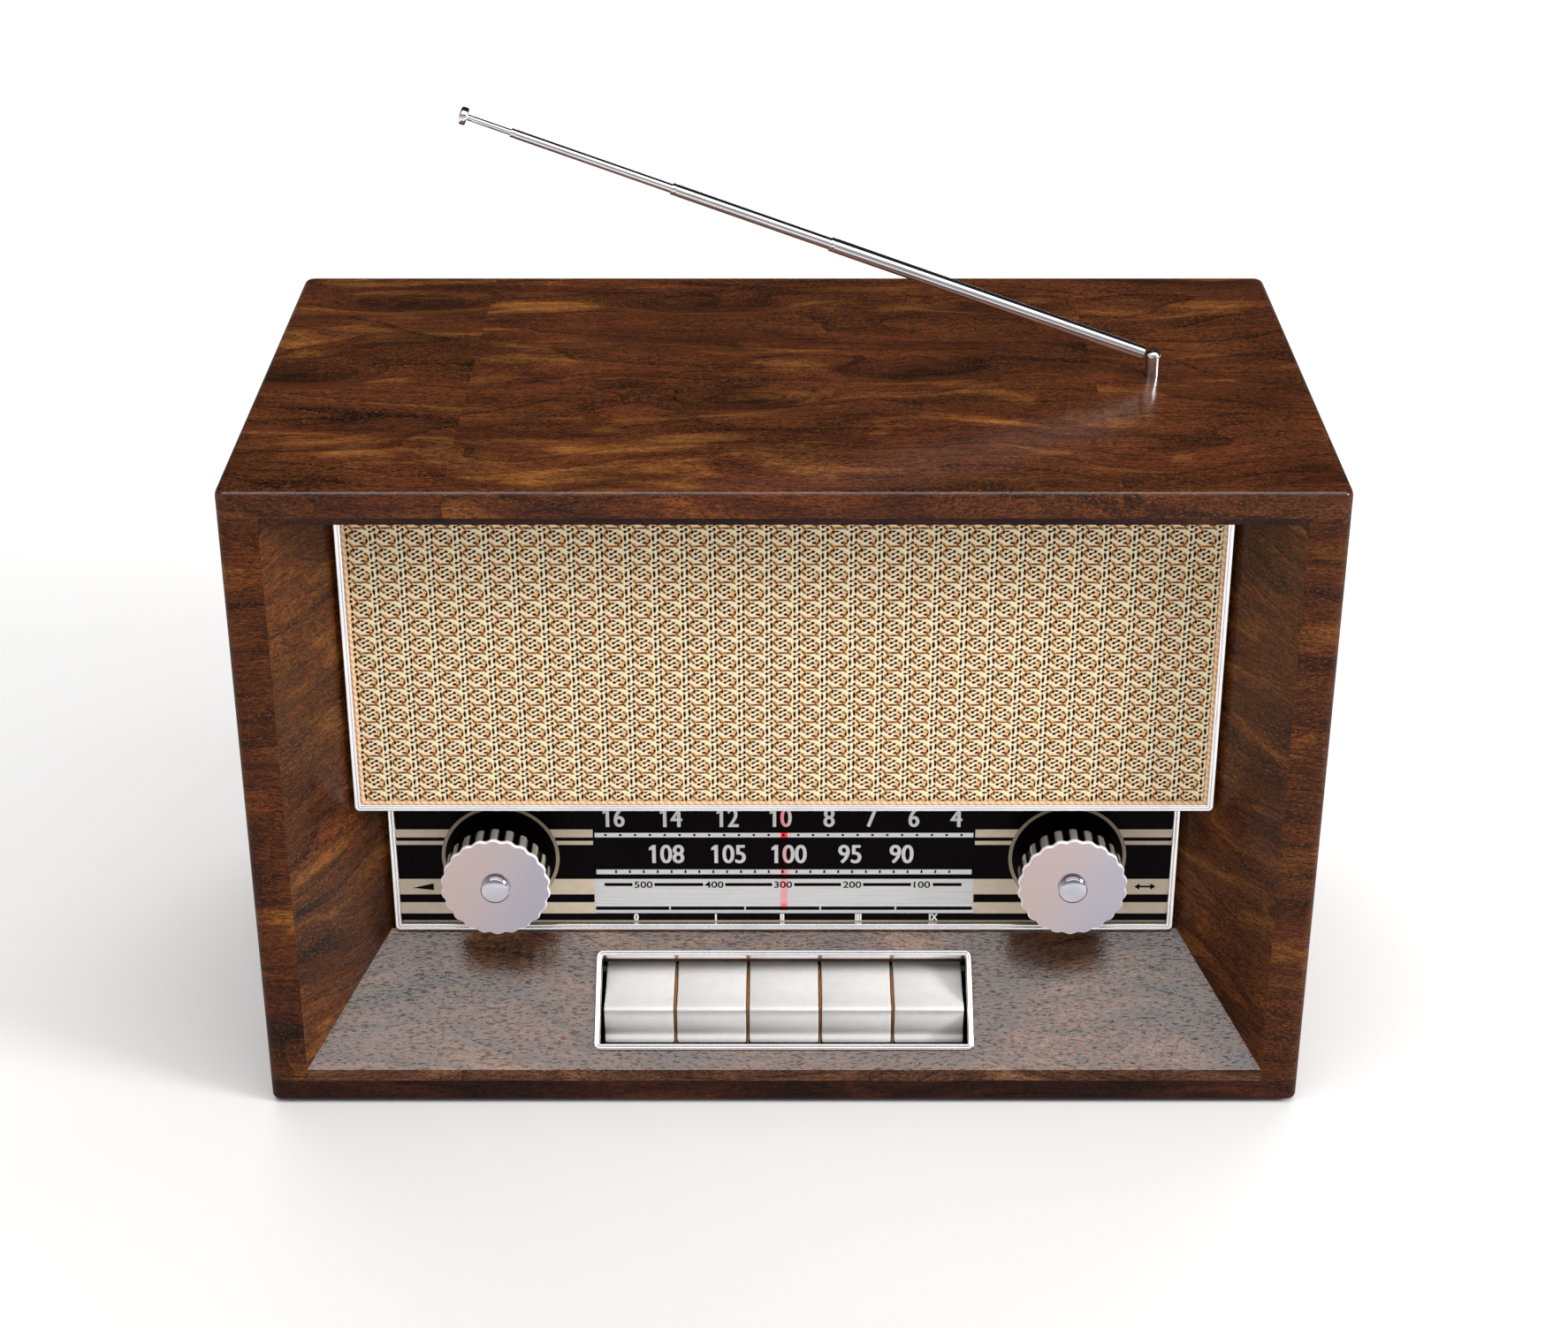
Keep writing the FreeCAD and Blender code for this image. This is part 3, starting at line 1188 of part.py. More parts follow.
def antenna_sections():
    """Four telescopic sections, each sliding in the one before, and the tip cap."""
    tube = aerial_rod("tube1_outer", "tube1_radius", "tube1_start", "tube1_end")
    bore = aerial_rod("tube1_bore", "tube2_radius + tube_play", "tube1_start + tube1_plug", "tube1_end")
    eye = cylinder("tang_eye", "Y", "tang_radius", ("aerial_offset", "-tang_thick / 2", "hinge_level"),
                   "tang_thick")
    arm = doc.addObject("Part::Box", "tang_arm")
    bind(arm, Length="3.4", Width="tang_thick", Height="tube1_start + 2")
    place(arm, along_aerial("0"), (0, 1, 0), "-90 + aerial_tilt")
    arm.setExpression("Placement.Base.x", ex("aerial_offset - 1.7 * sin(aerial_tilt)"))
    arm.setExpression("Placement.Base.y", ex("-tang_thick / 2"))
    arm.setExpression("Placement.Base.z", ex("hinge_level - 1.7 * cos(aerial_tilt)"))
    pin_hole = cylinder("tang_hole", "Y", "hinge_pin + shaft_play",
                        ("aerial_offset", "-2", "hinge_level"), "4")
    first = cut("tube1_hollow", tube, bore)
    part("antenna_tube_1", cut("antenna_tube_1", fuse("tube1_whole", first, eye, arm), pin_hole))

    for number, inner in ((2, "tube3_radius + tube_play"), (3, "tube4_radius + tube_play")):
        outer_rod = aerial_rod(f"tube{number}_outer", f"tube{number}_radius", f"tube{number}_start",
                               f"tube{number}_end")
        inner_rod = aerial_rod(f"tube{number}_bore", inner, f"tube{number}_start", f"tube{number}_end")
        part(f"antenna_tube_{number}", cut(f"antenna_tube_{number}", outer_rod, inner_rod))

    part("antenna_tube_4", aerial_rod("tube4_rod", "tube4_radius", "tube4_start", "tube4_end"))
    part("antenna_tip", aerial_rod("tip_cap", "tip_radius", "tube4_end", "tube4_end + tip_length"))


# ---------------------------------------------------------------- build, check and export

def build():
    top_panel()
    bottom_panel()
    side_panel("left_side_panel", -1)
    side_panel("right_side_panel", 1)
    rail = head_rail()
    cheek("left_cheek", -1, rail)
    cheek("right_cheek", 1, rail)
    sloping_sill()
    corner_blocks()
    back_panel()
    back_panel_screws()
    rubber_feet()
    grille_frame()
    grille_cloth()
    grille_board()
    dial_frame()
    dial_glass()
    dial_reflector()
    dial_pointer()
    pointer_rail()
    dial_lamps()
    knob("volume_knob", -1)
    knob("tuner_knob", 1)
    volume_shaft()
    volume_control()
    tuner_shaft()
    tuning_drum()
    cord_guides()
    dial_cord()
    tuning_capacitor()
    capacitor_rotor()
    for number in range(1, 6):
        key(number)
    key_dividers()
    key_frame()
    key_pivot_rod()
    key_switch_bank()
    chassis()
    circuit_board()
    board_components()
    mains_transformer()
    mains_inlet()
    loudspeaker()
    antenna_bush()
    antenna_post()
    antenna_hinge_pin()
    antenna_sections()


def check():
    """Stop if any object failed or any sub-part is empty or invalid."""
    doc.recompute()
    faults = []
    for thing in doc.Objects:
        if {"Invalid", "Error"} & set(thing.State):
            faults.append(f"{thing.Name}: {thing.State}")
    for label, thing in parts.items():
        if thing.Shape.isNull() or not thing.Shape.isValid() or not thing.Shape.Solids:
            faults.append(f"{label}: no valid solid")
    if faults:
        raise RuntimeError("; ".join(faults))


def export():
    os.makedirs("parts", exist_ok=True)
    for label, thing in parts.items():
        thing.Shape.exportStep(f"parts/{label}.step")
        print(f"{label}: {len(thing.Shape.Solids)} solid(s), {thing.Shape.Volume:.0f} mm3")
    print(len(parts), "sub-parts")


build()
check()
export()
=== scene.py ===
"""Looks of the retro table radio: its veneer, grille cloth, printed dial, bright trim, knobs and keys.

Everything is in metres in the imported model's frame: +X to the listener's right, +Y to the back, +Z up.
Places on the front are given as the part gives them: x from the middle, setback from the cabinet's
front face and height from its underside, all in millimetres.
"""

import json
import math

import bmesh
import bpy
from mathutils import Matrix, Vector


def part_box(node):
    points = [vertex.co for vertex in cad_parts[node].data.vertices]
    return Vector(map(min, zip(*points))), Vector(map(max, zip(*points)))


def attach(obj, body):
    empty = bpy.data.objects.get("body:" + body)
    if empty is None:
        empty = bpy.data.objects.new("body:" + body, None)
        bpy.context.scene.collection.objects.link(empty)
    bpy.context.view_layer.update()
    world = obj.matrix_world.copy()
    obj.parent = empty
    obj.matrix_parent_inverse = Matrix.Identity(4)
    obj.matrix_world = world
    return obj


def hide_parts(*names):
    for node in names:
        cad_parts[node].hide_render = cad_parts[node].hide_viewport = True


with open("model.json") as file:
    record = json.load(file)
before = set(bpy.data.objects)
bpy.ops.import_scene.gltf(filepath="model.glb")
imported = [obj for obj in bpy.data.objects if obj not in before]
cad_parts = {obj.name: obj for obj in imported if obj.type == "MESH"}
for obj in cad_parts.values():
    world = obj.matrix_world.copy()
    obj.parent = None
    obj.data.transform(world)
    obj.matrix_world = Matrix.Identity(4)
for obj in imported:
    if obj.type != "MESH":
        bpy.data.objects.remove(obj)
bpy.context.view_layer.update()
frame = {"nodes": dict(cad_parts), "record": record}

MM = 0.001
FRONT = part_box("top_panel")[0].y
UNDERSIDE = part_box("bottom_panel")[0].z


def at(x, setback, height):
    """The point at x, setback and height, given in millimetres."""
    return Vector((x * MM, FRONT + setback * MM, UNDERSIDE + height * MM))


def srgb(red, green, blue):
    """A linear colour with alpha from 8-bit sRGB values."""
    def linear(channel):
        channel /= 255
        return channel / 12.92 if channel <= 0.04045 else ((channel + 0.055) / 1.055) ** 2.4
    return (linear(red), linear(green), linear(blue), 1.0)


# ---------------------------------------------------------------- materials

class Graph:
    """A node tree, with short calls that add nodes to it."""

    def __init__(self, tree):
        self.tree = tree

    def feed(self, socket, source):
        """Links an output to the socket, or sets the socket to a plain value."""
        if isinstance(source, bpy.types.NodeSocket):
            self.tree.links.new(source, socket)
        else:
            socket.default_value = source

    def node(self, kind, inputs=None, **settings):
        """A new node with its settings, and its inputs by name or number."""
        made = self.tree.nodes.new(kind)
        for name, setting in settings.items():
            setattr(made, name, setting)
        for name, source in (inputs or {}).items():
            self.feed(made.inputs[name], source)
        return made

    def math(self, operation, *terms):
        return self.node("ShaderNodeMath", dict(enumerate(terms)), operation=operation).outputs[0]

    def add(self, first, second):
        return self.math("ADD", first, second)

    def less(self, first, second):
        return self.math("SUBTRACT", first, second)

    def times(self, first, second):
        return self.math("MULTIPLY", first, second)

    def split(self, vector):
        return self.node("ShaderNodeSeparateXYZ", {0: vector}).outputs

    def join(self, x, y, z):
        return self.node("ShaderNodeCombineXYZ", {0: x, 1: y, 2: z}).outputs[0]

    def length(self, vector):
        return self.node("ShaderNodeVectorMath", {0: vector}, operation="LENGTH").outputs["Value"]

    def smooth(self, value, start, end, low=0.0, high=1.0):
        """low where value is at start, high where it is at end, eased in between."""
        inputs = {"Value": value, "From Min": start, "From Max": end, "To Min": low, "To Max": high}
        return self.node("ShaderNodeMapRange", inputs, interpolation_type="SMOOTHSTEP").outputs[0]

    def ramp(self, value, *stops):
        """A colour ramp of (place, colour) stops."""
        made = self.node("ShaderNodeValToRGB", {0: value})
        marks = made.color_ramp.elements
        marks[0].position, marks[0].color = stops[0]
        marks[1].position, marks[1].color = stops[-1]
        for position, colour in stops[1:-1]:
            marks.new(position).color = colour
        return made.outputs[0]

    def mix(self, factor, first, second, blend="MIX"):
        inputs = {0: factor, 6: first, 7: second}
        return self.node("ShaderNodeMix", inputs, data_type="RGBA", blend_type=blend).outputs[2]

    def shade(self, colour, value):
        """The colour multiplied by a value."""
        return self.mix(1.0, colour, self.join(value, value, value), "MULTIPLY")

    def bump(self, height, distance):
        return self.node("ShaderNodeBump", {"Height": height, "Distance": distance}).outputs[0]


class Look(Graph):
    """A material in the making. Its shader's sockets are given as Base_Color=... and so on."""

    def __init__(self, name, **sockets):
        self.material = bpy.data.materials.new(name)
        self.material.use_nodes = True
        super().__init__(self.material.node_tree)
        self.shader = self.tree.nodes["Principled BSDF"]
        self.place = self.node("ShaderNodeTexCoord").outputs["Object"]
        self.give(**sockets)

    def give(self, **sockets):
        """Feeds the shader's own sockets."""
        for name, source in sockets.items():
            self.feed(self.shader.inputs[name.replace("_", " ")], source)

    def normal(self):
        """The x, y and z of the surface's normal."""
        return self.split(self.node("ShaderNodeNewGeometry").outputs["Normal"])

    def noise(self, scale, detail, roughness=0.5, distortion=0.0, shift=(0, 0, 0), place=None):
        """Noise whose features are 1 / scale metres; scale is one number or one for each axis."""
        scales = (scale,) * 3 if isinstance(scale, float) else scale
        mapping = {"Vector": place or self.place, "Location": shift, "Scale": scales}
        inputs = {"Vector": self.node("ShaderNodeMapping", mapping).outputs[0], "Scale": 1.0,
                  "Detail": detail, "Roughness": roughness, "Distortion": distortion}
        return self.node("ShaderNodeTexNoise", inputs).outputs[0]

    def nearness(self, plane, ovals, swell=0.0):
        """How far the nearest of several ovals is: below 1 inside one, above 1 outside them all.
        An oval is (centre, (half length, half width), turn in degrees)."""
        nearest = None
        for centre, half, turn in ovals:
            inputs = {"Vector": plane, "Location": (*centre, 0),
                      "Scale": (half[0] + swell, half[1] + swell, 1),
                      "Rotation": (0, 0, math.radians(turn))}
            oval = self.node("ShaderNodeMapping", inputs, vector_type="TEXTURE").outputs[0]
            reach = self.length(oval)
            nearest = reach if nearest is None else self.math("MINIMUM", nearest, reach)
        return nearest


def by_grain(stretch, along, across):
    """A scale for each axis: along where stretch is 0, across where it is 1."""
    return [across if share else along for share in stretch]


def walnut(name, stretch, tones, seed, knots=(), seams=(), shaded_rims=False, matt_flecks=None,
           coat=0.15, coat_bump=0.00006, coat_rough=0.16, coat_index=1.5):
    """Lacquered walnut veneer. stretch is 1 for the axes across the grain and 0 along it, tones are
    its dark, middle and golden colours, and seed picks another stretch of the same wood. knots are
    (x, setback) places on the top, and seams are the x of the joints between its boards. The rims
    flag paints shade on the sides and the back with their edges, which darkens them, and dulls their
    lacquer; matt_flecks breaks the lacquer up into dashes where the wood faces up."""
    look = Look(name, Roughness=0.55, Coat_Roughness=coat_rough, Coat_IOR=coat_index,
                Coat_Weight=coat, Specular_IOR_Level=0.08)
    dark, middle, golden = (srgb(*tone) for tone in tones)
    x, y, z = look.split(look.place)

    low_waves = look.noise(by_grain(stretch, 9.0, 16.0), 1, shift=(seed, 0, seed))
    high_waves = look.noise(by_grain(stretch, 34.0, 50.0), 1, shift=(0, seed, 1))
    bend = look.add(look.times(look.less(low_waves, 0.5), 0.036),
                    look.times(look.less(high_waves, 0.5), 0.0045))
    for seam in seams:
        bend = look.add(bend, look.times(look.math("GREATER_THAN", x, seam * MM), 0.37))
    if knots:
        plane = look.join(x, y, 0.0)
        spots = [(knot_x * MM, FRONT + setback * MM) for knot_x, setback in knots]
        around = look.nearness(plane, [(spot, (0.030, 0.011), 0) for spot in spots])
        heart = look.nearness(plane, [(spot, (0.0045, 0.0022), 15) for spot in spots])
        bend = look.add(bend, look.times(look.smooth(around, 1.5, 0.2), 0.014))
    place = look.join(*(look.math("MULTIPLY_ADD", bend, share, axis)
                        for share, axis in zip(stretch, (x, y, z))))

    def grain(length, width, detail, distortion=0.0, roughness=0.55, shift=0.0):
        """Noise that is drawn out along the grain, its features length by width metres."""
        return look.noise(by_grain(stretch, 1 / length, 1 / width), detail, roughness, distortion,
                          (seed + shift, seed, shift), place)

    presence = look.smooth(grain(0.09, 0.022, 2, shift=7.0), 0.30, 0.54)
    across = look.node("ShaderNodeVectorMath", {0: place, 1: stretch}, operation="DOT_PRODUCT")
    drift = look.times(grain(0.17, 0.05, 1, 0.0, 0.3), 8.0)
    rings = look.math("FRACT", look.add(look.times(across.outputs["Value"], 62.0), drift))
    line = look.times(look.smooth(rings, 0.18, 0.0, 0.0, 0.55), presence)
    band = look.smooth(rings, 0.0, 0.6, 0.84, 1.08)
    streak = look.smooth(grain(0.035, 0.0013, 3, 0.3, 0.6, shift=11.0), 0.35, 0.66, 1.16, 0.70)
    fleck = look.smooth(grain(0.0019, 0.00052, 2, 1.2, 0.6, shift=17.0), 0.36, 0.64, 0.42, 1.62)
    pore = look.smooth(grain(0.0042, 0.0004, 1, shift=23.0), 0.56, 0.62, 1.0, 0.45)
    patches = look.noise((19.0, 24.0, 24.0), 1, shift=(seed, 1, seed))
    sheen = look.smooth(patches, 0.34, 0.66, 0.70, 1.24)
    colour = look.ramp(grain(0.06, 0.015, 3, 0.9, 0.5, shift=3.0),
                       (0.26, dark), (0.46, middle), (0.55, middle), (0.72, golden))
    for tint in (look.less(1.0, line), band, streak, fleck, pore, sheen):
        colour = look.shade(colour, tint)
    glint = look.smooth(grain(0.0014, 0.0005, 1, 0.8, 0.6, shift=29.0), 0.56, 0.66, 0.0, 0.55)
    colour = look.mix(look.times(glint, presence), colour, golden)
    if knots:
        colour = look.shade(colour, look.smooth(around, 0.3, 1.3, 0.55, 1.0))
        colour = look.mix(look.smooth(heart, 1.5, 0.6, 0.0, 0.85), colour, dark)

    # Painted shade: the sides, the back and their rims, which face neither up nor to the front, are
    # darkened and lose their lacquer.
    if shaded_rims:
        _, back, up = look.normal()
        rim_shade = look.times(look.smooth(up, 0.98, 0.80), look.smooth(back, -0.3, -0.05))
        colour = look.shade(colour, look.smooth(rim_shade, 0.0, 1.0, 1.0, 0.3))
        gloss = look.smooth(up, 0.15, 0.5, 0.1, coat)
        look.give(Coat_Weight=look.times(gloss, look.smooth(rim_shade, 0.0, 1.0, 1.0, 0.0)))
    if matt_flecks:
        dashes = look.noise(by_grain(stretch, 1 / 0.0024, 1 / 0.0006), 2, 0.55)
        broken = look.smooth(dashes, matt_flecks - 0.03, matt_flecks + 0.03, 0.3, coat)
        look.give(Coat_Weight=look.times(broken, look.smooth(look.normal()[2], 0.3, 0.6)))
    speckle = look.noise(by_grain(stretch, 1 / 0.0020, 1 / 0.0006), 2, 0.6)
    look.give(Base_Color=colour, Normal=look.bump(pore, 0.00004),
              Coat_Normal=look.bump(speckle, coat_bump))
    return look.material


def metal(name, tone, other, roughness, grain=900.0, dent=0.000004):
    """Bright metal: its tone drifts a little, and fine polishing marks break up its gloss."""
    look = Look(name, Metallic=1.0)
    marks = look.noise(grain, 3, 0.7)
    look.give(Base_Color=look.ramp(look.noise(60.0, 3), (0.35, srgb(*tone)), (0.65, srgb(*other))),
              Roughness=look.smooth(marks, 0.3, 0.7, roughness * 0.92, roughness * 1.08),
              Normal=look.bump(marks, dent))
    return look.material


def moulded(name, tone, other, roughness=0.35, grain=1500.0, dent=0.00001, **sockets):
    """Plastic, paint, rubber, paper or board: two close tones in a fine mottle, and a soft grain."""
    look = Look(name, **sockets)
    cloud = look.noise(grain / 12, 4, 0.6)
    fine = look.noise(grain, 3, 0.6)
    mottle = look.add(look.times(cloud, 0.5), look.times(fine, 0.5))
    look.give(Base_Color=look.ramp(mottle, (0.35, srgb(*tone)), (0.65, srgb(*other))),
              Roughness=look.smooth(fine, 0.25, 0.75, roughness * 0.85, roughness * 1.15),
              Normal=look.bump(fine, dent))
    return look.material


def satin_face(name):
    """Satin aluminium of the knobs' discs, with a painted reflection: rosy to the left of each knob and
    bluish to its right. The chamfer round the rim is diffuse white, a painted highlight.
    """
    look = Look(name, Roughness=0.12)
    x, _, z = look.split(look.place)
    low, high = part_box("tuner_knob_disc")
    across = look.less(look.math("ABSOLUTE", x), (low.x + high.x) / 2)
    side = look.times(across, look.math("SIGN", x))
    reflection_side = look.add(side, look.times(z, -0.35))
    # Painted reflection: the colour turns from rosy to bluish across the knob and with height.
    colour = look.ramp(look.smooth(reflection_side, -0.045, -0.005), (0.0, srgb(196, 178, 176)),
                       (0.5, srgb(188, 178, 184)), (1.0, srgb(176, 174, 190)))
    marks = look.noise((1500.0, 300.0, 6000.0), 3, 0.7)
    colour = look.shade(colour, look.smooth(marks, 0.2, 0.8, 0.95, 1.05))
    # Painted highlight: the chamfer is made diffuse white and barely metallic.
    chamfer_highlight = look.smooth(look.math("ABSOLUTE", look.normal()[1]), 0.96, 0.90)
    look.give(Base_Color=look.mix(chamfer_highlight, colour, srgb(252, 250, 253)),
              Metallic=look.smooth(chamfer_highlight, 0.0, 1.0, 1.0, 0.1), Normal=look.bump(marks, 0.000003))
    return look.material


def fluted_chrome(name):
    """The knobs' ribbed bodies: bright along the crests, with painted shade that turns them nearly black
    down in the grooves.
    """
    look = Look(name, Roughness=0.22)
    x, _, z = look.split(look.place)
    low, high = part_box("tuner_knob")
    crest = (high.x - low.x) / 2
    across = look.less(look.math("ABSOLUTE", x), (low.x + high.x) / 2)
    rise = look.less(z, (low.z + high.z) / 2)
    height = look.smooth(look.length(look.join(across, rise, 0.0)), crest - 0.9 * MM, crest)
    marks = look.noise((1200.0, 120.0, 1200.0), 3, 0.7)
    # Painted shade: the colour goes nearly black towards the bottom of the grooves.
    tone = look.ramp(look.add(height, look.times(marks, 0.12)), (0.3, srgb(16, 13, 13)),
                     (0.6, srgb(112, 104, 98)), (0.95, srgb(246, 240, 230)))
    look.give(Base_Color=tone, Metallic=look.smooth(height, 0.2, 0.9, 0.9, 0.7),
              Normal=look.bump(marks, 0.000006))
    return look.material


def glowing_pointer(name):
    """The dial's pointer: red, and glowing with painted light on the side that faces the glass."""
    look = Look(name, Roughness=0.4, Emission_Color=(1, 0.004, 0.012, 1))
    mottle = look.noise(900.0, 3, 0.6)
    look.give(Base_Color=look.ramp(mottle, (0.35, srgb(206, 10, 22)), (0.65, srgb(226, 22, 34))),
              # Painted light: the faces towards the glass glow red, though the pointer is no lamp.
              Emission_Strength=look.smooth(look.normal()[1], -0.3, -0.8, 0.0, 1.1))
    return look.material


CELL = (9.79, 6.91)            # the cloth's repeat, across and down, in mm
CELL_START = (-45.24, 188.22)  # x and height of one cell's first dash
CELL_CORNER = (-0.8, -2.9)     # where the cell begins, left of and above that dash
WARP_PITCH = 0.816
WEFT_PITCH = 0.987

# The marks of one cell of the cloth, in mm from its first dash, to the right and down:
# (x, y), (half length, half width), turn in degrees.
DARK_MARKS = [((0.0, 0.0), (0.27, 1.05), 0), ((1.68, -0.79), (0.27, 1.05), 0),
              ((1.68, 1.72), (0.34, 0.36), 0), ((0.0, 2.66), (0.34, 0.36), 0),
              ((1.58, 3.6), (0.36, 0.34), 0), ((0.0, -2.42), (0.4, 0.3), 0),
              ((6.43, -1.74), (0.38, 0.34), 0), ((4.75, -0.79), (0.38, 0.34), 0),
              ((6.43, 0.14), (0.38, 0.34), 0), ((4.75, 1.04), (0.42, 0.32), 0),
              ((4.85, -2.6), (0.52, 0.23), 0), ((6.73, 1.83), (0.58, 0.26), 0),
              ((8.54, 1.02), (0.2, 0.62), 8), ((3.72, -2.3), (0.28, 0.5), 0)]
BROWN_MARKS = [((3.1, -2.0), (0.95, 0.2), -46), ((2.85, -0.5), (1.0, 0.19), 45),
               ((3.46, 0.18), (0.32, 0.3), 0), ((7.7, -0.84), (0.32, 0.28), 0),
               ((8.2, -0.45), (0.6, 0.14), 37), ((5.74, 3.16), (1.8, 0.17), 0),
               ((3.1, 3.0), (1.1, 0.18), 52), ((7.9, 2.05), (0.65, 0.18), -34),
               ((7.4, 2.7), (0.17, 0.5), 0), ((8.0, 3.35), (0.7, 0.17), 42),
               ((0.75, 2.42), (0.75, 0.11), -16), ((0.9, -2.66), (0.8, 0.1), -14),
               ((5.6, -1.25), (1.0, 0.1), -28), ((5.6, 0.6), (1.0, 0.1), -28)]
ORANGE_MARKS = [((3.2, -1.75), (0.6, 0.8), 0), ((7.85, 0.86), (0.8, 0.9), 0),
                ((2.3, -0.9), (0.5, 0.8), 20), ((5.4, 3.1), (2.3, 0.4), 0),
                ((7.9, 2.4), (0.6, 0.9), 20), ((3.2, 2.7), (0.6, 1.1), -30)]
PALE_MARKS = [((0.85, 0.9), (0.75, 0.4), 0), ((0.85, 2.9), (0.75, 0.35), 0),
              ((0.85, -1.6), (0.7, 0.35), 0), ((5.6, -0.4), (0.8, 0.35), 0),
              ((7.3, -1.3), (0.7, 0.35), 0), ((5.6, 1.5), (0.8, 0.35), 0),
              ((3.4, 1.6), (1.1, 0.5), 0), ((6.4, 3.7), (1.2, 0.3), 0)]


def speaker_cloth(name):
    """Jacquard loudspeaker cloth: cream yarn with dark wefts, brown zigzags and orange floats."""
    look = Look(name, Roughness=0.85, Specular_IOR_Level=0.1, Sheen_Weight=0.15, Sheen_Roughness=0.5)
    x, _, z = look.split(look.place)
    drift = look.noise((170.0, 1.0, 240.0), 2)
    jitter = look.noise((620.0, 1.0, 760.0), 2, shift=(3.0, 0.0, 5.0))

    def wrapped(distance, low, span, amount):
        """A distance in mm, shaken a little, and repeated every span of it."""
        shaken = look.add(distance, look.times(look.less(jitter, 0.5), amount))
        return look.add(look.math("FLOORED_MODULO", look.less(shaken, low), span), low)

    across = look.math("DIVIDE", look.less(x, CELL_START[0] * MM), MM)
    across = look.add(across, look.times(look.less(drift, 0.5), 0.5))
    down = look.math("DIVIDE", look.less(UNDERSIDE + CELL_START[1] * MM, z), MM)
    plane = look.join(wrapped(across, CELL_CORNER[0], CELL[0], 0.45),
                      wrapped(down, CELL_CORNER[1], CELL[1], 0.55), 0.0)

    dark_reach = look.nearness(plane, DARK_MARKS, 0.17)
    brown_reach = look.nearness(plane, BROWN_MARKS, 0.15)
    dark = look.smooth(dark_reach, 1.15, 0.85)
    brown = look.times(look.smooth(brown_reach, 1.3, 0.7), look.smooth(jitter, 0.3, 0.7, 0.75, 1.0))
    halo = look.smooth(look.math("MINIMUM", dark_reach, look.times(brown_reach, 0.8)), 2.0, 1.0)
    orange = look.smooth(look.nearness(plane, ORANGE_MARKS, 0.1), 1.6, 0.4)
    pale = look.smooth(look.nearness(plane, PALE_MARKS), 1.5, 0.5)
    warp = look.math("SINE", look.times(across, 2 * math.pi / WARP_PITCH))
    weft = look.math("SINE", look.times(down, 2 * math.pi / WEFT_PITCH))
    weave = look.times(warp, weft)
    fuzz = look.noise((2600.0, 1.0, 2600.0), 3, 0.7)

    colour = look.ramp(look.smooth(weave, -1.0, 1.0), (0.0, srgb(247, 226, 168)),
                       (0.5, srgb(253, 243, 200)), (1.0, srgb(255, 252, 226)))
    for cover, tone in ((look.times(pale, 0.8), (255, 254, 246)), (look.times(halo, 0.42), (212, 140, 78)),
                        (look.times(orange, 0.8), (240, 166, 84)), (brown, (70, 28, 12)),
                        (dark, (16, 5, 5))):
        colour = look.mix(cover, colour, srgb(*tone))
    height = look.add(look.less(look.times(weave, 0.3), dark), look.times(fuzz, 0.4))
    look.give(Base_Color=look.shade(colour, look.smooth(fuzz, 0.2, 0.8, 0.86, 1.1)),
              Normal=look.bump(height, 0.00008))
    return look.material


def twisted_piping(name):
    """Peach piping round the cloth: two plies twisted about each other."""
    look = Look(name, Roughness=0.8)
    x, _, z = look.split(look.place)
    ply = look.math("SINE", look.times(look.add(x, z), 2 * math.pi / 0.0026))
    fuzz = look.noise(1800.0, 3, 0.7)
    twist = look.add(look.smooth(ply, -1.0, 1.0), look.times(fuzz, 0.4))
    look.give(Base_Color=look.ramp(twist, (0.2, srgb(232, 176, 128)), (0.6, srgb(246, 204, 158)),
                                   (1.0, srgb(252, 220, 180))),
              Normal=look.bump(twist, 0.00006))
    return look.material


FILM_START = 53.0
FILM_SPAN = 50.0
FILM_COVER = ((53.0, 0.1), (54.8, 0.1), (55.2, 0.25), (57.8, 0.3), (58.2, 0.6), (66.8, 0.7), (69.0, 0.55),
              (73.0, 0.45), (74.5, 0.68), (84.5, 0.68), (86.0, 0.06), (89.5, 0.06), (90.5, 0.6))


def dial_film(name):
    """The silvery film behind the dial's printed black. FILM_COVER is how much it hides at each
    height: it is frosted behind the numbers and clear behind the strips."""
    look = Look(name, Roughness=0.4, Specular_IOR_Level=0.2)
    rise = look.less(look.split(look.place)[2], UNDERSIDE + FILM_START * MM)
    share = look.math("DIVIDE", rise, FILM_SPAN * MM)
    height = look.smooth(share, 0.0, 0.74)
    cover = look.ramp(share, *[((level - FILM_START) / FILM_SPAN, (hides, hides, hides, 1))
                               for level, hides in FILM_COVER])
    brushed = look.noise((40.0, 1.0, 1600.0), 3, 0.6)
    tone = look.ramp(brushed, (0.3, srgb(196, 195, 197)), (0.7, srgb(214, 213, 214)))
    look.give(Base_Color=look.shade(tone, look.smooth(height, 0.0, 1.0, 1.0, 1.04)), Alpha=cover)
    return look.material


def clear_glass(name):
    """Clear scale glass: what is behind it shows, and its surface only adds gloss."""
    look = Look(name)
    tint = look.ramp(look.noise(30.0, 3), (0.3, (0.93, 0.95, 0.94, 1)), (0.7, (0.96, 0.97, 0.965, 1)))
    clear = look.node("ShaderNodeBsdfTransparent", {"Color": tint}).outputs[0]
    gloss = look.node("ShaderNodeBsdfGlossy", {"Roughness": 0.03}).outputs[0]
    edge = look.node("ShaderNodeFresnel", {"IOR": 1.35}).outputs[0]
    both = look.node("ShaderNodeMixShader", {0: edge, 1: clear, 2: gloss}).outputs[0]
    look.feed(look.tree.nodes["Material Output"].inputs["Surface"], both)
    look.tree.nodes.remove(look.shader)
    return look.material


